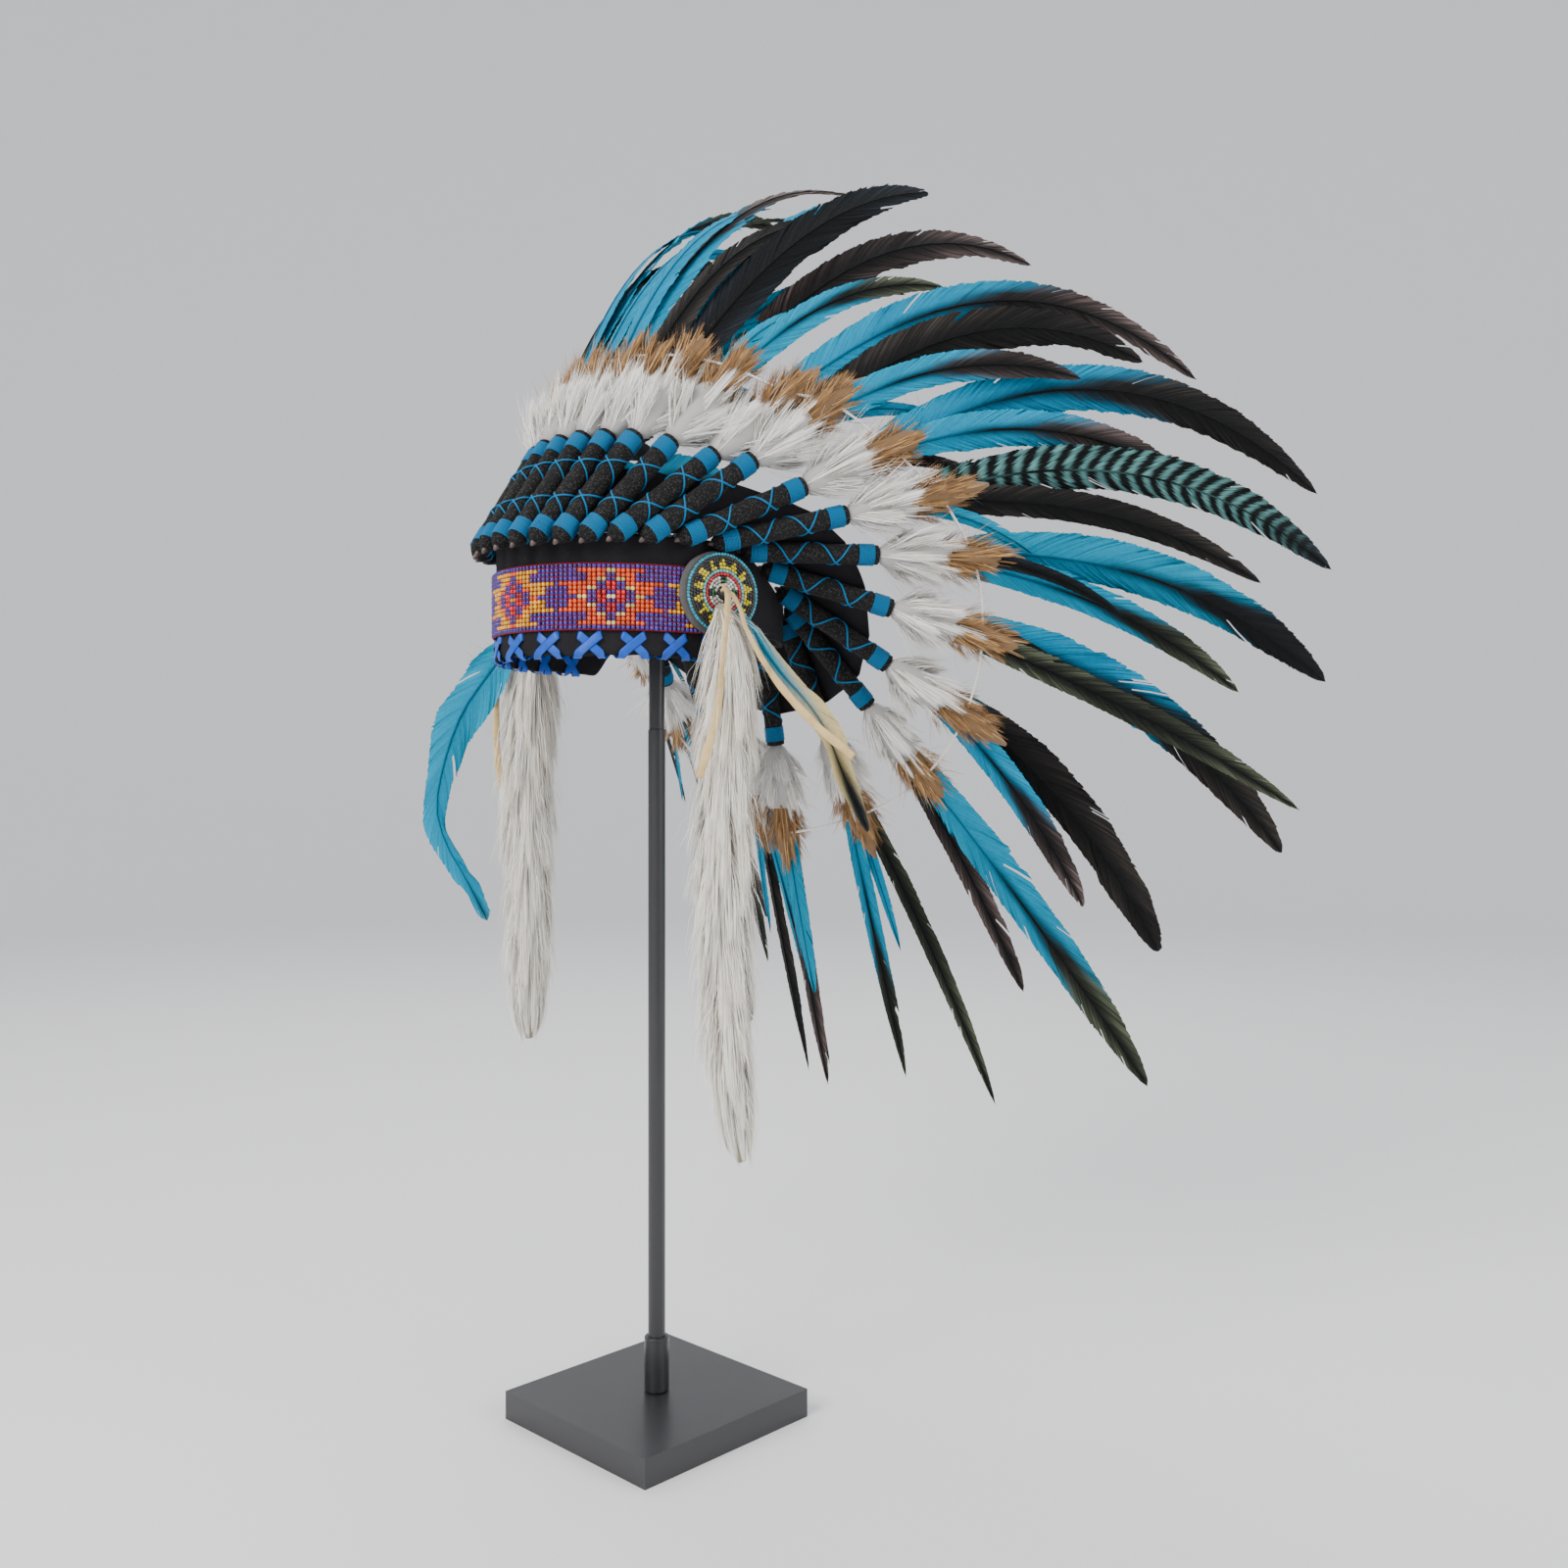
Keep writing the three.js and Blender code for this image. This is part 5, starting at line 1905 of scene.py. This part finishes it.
@dataclass
class StringRing:
    """The stiff white string that runs through the brown fur of every plume."""

    distance: float = 129.0
    forward: float = 5.0
    radius: float = 0.85
    stations: int = 400
    sides: int = 6

    def build(self) -> None:
        """Make the string."""
        path = Curve(FAN.root + FAN.along * self.distance + FAN.face * self.forward, closed=True)
        share = np.linspace(0, 1, self.stations, endpoint=False)
        across, depth = cross_axes(path.tangent(share), np.array([0.0, 1.0, 0.2]))
        around = rings(path.read(share), self.radius * across, self.radius * depth, self.sides)
        lie = grain(np.repeat(share * path.length, self.sides), 0, 1)
        build = Build().add(ring_loop(around), grain=lie)
        build.piece("stiff_string", [Thread("white_string", (0.9, 0.89, 0.85), 1.6)], "white_fur")


@dataclass
class Lacing:
    """Satin ribbon laced over the band's lower edge, in crosses."""

    reach: float = 150.0
    pitch: float = 24.0
    hole: float = 468.5
    edge: float = 457.0
    half_width: float = 2.5
    half_thick: float = 0.16
    sides: int = 8
    stitch_steps: int = 44
    cross_shift: float = 0.28

    def build(self) -> None:
        """Make both ribbons."""
        build = Build()
        for hand, lift in ((-1, 1.05), (1, 0.55)):
            self._ribbon(build, hand, lift)
        build.piece("edge_ribbon", [Satin("blue_satin")], "roll_cloth")

    def _ribbon(self, build: Build, hand: int, lift: float) -> None:
        """Lace one ribbon from ear to ear.

        Args:
            build: The mesh that grows.
            hand: 1 or -1, for the way that it goes.
            lift: How far off the band it lies.
        """
        count = int(2 * self.reach / self.pitch)
        stitch = np.array(
            [
                (0.0, -0.4, self.hole), (0.03, lift, self.hole - 0.3), (0.2, lift + 0.3, 464.8),
                (0.37, lift + 0.4, 461.3), (0.52, lift + 0.1, 457.9), (0.56, -0.4, 455.7),
                (0.59, -2.2, 455.7), (0.64, -3.2, 458.0), (0.9, -3.3, self.hole - 3),
                (1.0, -2.6, self.hole),
            ]
        )
        places = np.concatenate([stitch + np.array([i, 0, 0]) for i in range(count)])
        places[:, 0] = hand * (places[:, 0] - count / 2 - self.cross_shift) * self.pitch
        path = Curve(LOOP.place(*places.T))
        share = np.linspace(0, 1, count * self.stitch_steps)
        knots = path.arcs[:: Curve.steps] / path.length
        arc, offset, height = (np.interp(share, knots, column) for column in places.T)
        rise = (height - self.edge - 1.5).clip(-3, 0)
        away = unit((offset + 1.25)[:, None] * LOOP.outward(arc) + rise[:, None] * UP)
        across, depth = cross_axes(path.tangent(share), away)
        run = np.repeat(share * path.length, self.sides)
        width = np.tile(np.cos(circle(self.sides)) * self.half_width, len(share))
        shape = tube(path.read(share), across * self.half_width, depth * self.half_thick, self.sides)
        build.add(shape, grain=grain(run, width, 0.5))


@dataclass
class FurTail:
    """A long tail of white fur under a rosette, in layered locks."""

    side: str
    share: float
    count: int = 13000
    clumps: int = 190
    half_width: float = 18.0
    hair_half_width: float = 0.24
    depth: float = 0.85
    face: tuple[float, float, float] = (1.0, 0.0, 0.0)
    outline_at: tuple[float, ...] = (0.0, 0.06, 0.15, 0.3, 0.5, 0.7, 0.85, 0.95, 1.0)
    outline: tuple[float, ...] = (0.42, 0.86, 1.0, 1.0, 0.96, 0.92, 0.84, 0.6, 0.25)
    cream: Colour = screen_colour(222, 210, 180)
    white: Colour = screen_colour(250, 246, 238)
    locks: Locks = Locks(13, 0.55, 0.1, 0.8, (0.74, 1.26), (0.88, 1.05), 0.07, (1.1, 1.5))
    route: tuple = (
        (2.3, -3, -8), (8.7, -2.5, -23.5), (10.5, -3.6, -63.5), (9.5, -5.9, -123.5),
        (9.5, -5.9, -183.5), (10.6, -4.1, -243.5), (12.3, -0.7, -293.5), (14.6, 2.9, -315.5),
    )

    def build(self) -> None:
        """Grow the tail on a core, which is darker as painted shade deep in the fur."""
        whole = Curve(SIDES[self.side].from_face(self.route))
        path = Path(whole.read(np.linspace(0, self.share, 60)))
        build = Build(41 if self.side == "left" else 42)
        rng = build.rng
        cream, white = np.array(self.cream), np.array(self.white)
        share = np.linspace(0, 1, 24)
        across, depth = cross_axes(path.tangent(share), self.face)
        core = (self.half_width * 0.55 * np.interp(share, self.outline_at, self.outline))[:, None]
        shape = tube(path.read(share), across * core, depth * core * 0.8, 14)
        # The core's halved colour and low tone are painted shade deep in the fur.
        build.add(shape, cream * 0.5, (0, 0, 0.3))
        root = rng.random(self.count) ** 0.92 * 0.93
        turn = rng.uniform(0, TURN, self.count)
        reach = rng.uniform(20, 52, self.count) / path.length
        tip = np.minimum(root + reach, 1 + rng.normal(0, 0.012, self.count))
        lock_turn = rng.uniform(0, TURN, self.clumps)
        lock_at = np.linspace(0.12, 1.02, self.clumps) + rng.normal(0, 0.02, self.clumps)
        bend, tip, swell, near = self.locks.gather(build, turn, tip, lock_turn, lock_at, path.length)
        tip = np.clip(tip, 0, 1.03)
        middle = root + 0.42 * (tip - root)
        roots = self._around(path, root, turn, 0.5 * np.ones(self.count))
        tips = self._around(path, tip, turn + bend, swell)
        middles = self._around(path, middle, turn + bend * 0.6, swell * 0.95)
        spoke = unit(middles - path.read(np.clip(middle, 0, 1)))
        shape, along = comb(build, (roots, middles, tips), spoke, 0.8, self.hair_half_width, 0.7)
        shade = rng.random(self.count)
        lock_shade = rng.random(self.clumps)[near]
        tint = white + (cream - white) * (0.5 * lock_shade * shade)[:, None]
        tone = np.repeat(0.4 * shade + 0.6 * lock_shade, HAIR_POINTS)
        build.add(shape, np.repeat(tint, HAIR_POINTS, 0), grain(along, 0, tone))
        build.piece("long_fur_" + self.side, [Hair("tail_fur")], "white_fur", "fur_tail_" + self.side)

    def _around(self, path: Path, share: Array, turn: Array, swell: Array) -> Array:
        """Give places on the tail's outline.

        Args:
            path: The tail's middle.
            share: Shares along it, which may run a little past its end.
            turn: Angles round it.
            swell: How far off the middle, as a share of the outline.

        Returns:
            The places.
        """
        on = np.clip(share, 0, 1)
        across, depth = cross_axes(path.tangent(on), self.face)
        away = self.half_width * np.interp(share, self.outline_at, self.outline) * swell
        spoke = across * np.cos(turn)[:, None] + depth * np.sin(turn)[:, None] * self.depth
        past = np.clip(share - 1, 0, 1)[:, None] * path.length * path.tangent(np.array([1.0]))
        return path.read(on) + spoke * away[:, None] + past


@dataclass(frozen=True)
class SideFeather:
    """A single feather that hangs beside a tail."""

    side: str
    vane: Vane
    width: float
    kind: Kind
    face: tuple[float, float, float]
    seed: int
    route: tuple

    def build(self) -> None:
        """Make the feather."""
        path = Curve(SIDES[self.side].from_face(self.route))
        build = Build(self.seed)
        self.vane.grow(build, path, unit(np.array(self.face)), self.width, self.kind)
        node = "side_feather_" + self.side
        build.piece("hanging_feather_" + self.side, [Barbs("barbs")], "feather", node)


SIDE_FEATHERS = (
    SideFeather(
        "left", VANE, 14.0, Kind.PALE, (0.4, -0.9, 0.1), 51,
        ((1.6, 8, -9), (8, 15, -24), (17, 28, -46), (24, 38.5, -60), (30, 47, -75),
         (35, 56, -100), (42, 69, -134)),
    ),
    SideFeather(
        "right", CURL, 30.0, Kind.TEAL, (0.62, -0.78, 0.1), 52,
        ((2.8, -13, -8), (10, -22, -20), (24, -27, -38), (43, -31, -63), (57, -34, -100),
         (61, -34, -126), (54, -30, -150), (45, -26, -166), (31, -20, -194)),
    ),
)


def main() -> None:
    """Build the headdress and its stand."""
    logging.basicConfig(level=logging.INFO, format="%(name)s: %(message)s")
    parts = [
        Camera(), Thongs(), Studio(), Stand(), Suedes(), BeadStrip(), Rosette("left"), Rosette("right"),
        Rolls(), Plumes(), StringRing(), Lacing(), FurTail("left", 1.0), FurTail("right", 0.85),
        *SIDE_FEATHERS,
    ]
    for part in parts:
        part.build()
        LOG.info("%s built", type(part).__name__)
    meshes = [o.data for o in bpy.data.objects if o.type == "MESH"]
    LOG.info("%d triangles in all", sum(len(m.loops) - 2 * len(m.polygons) for m in meshes))


if __name__ == "__main__":
    main()
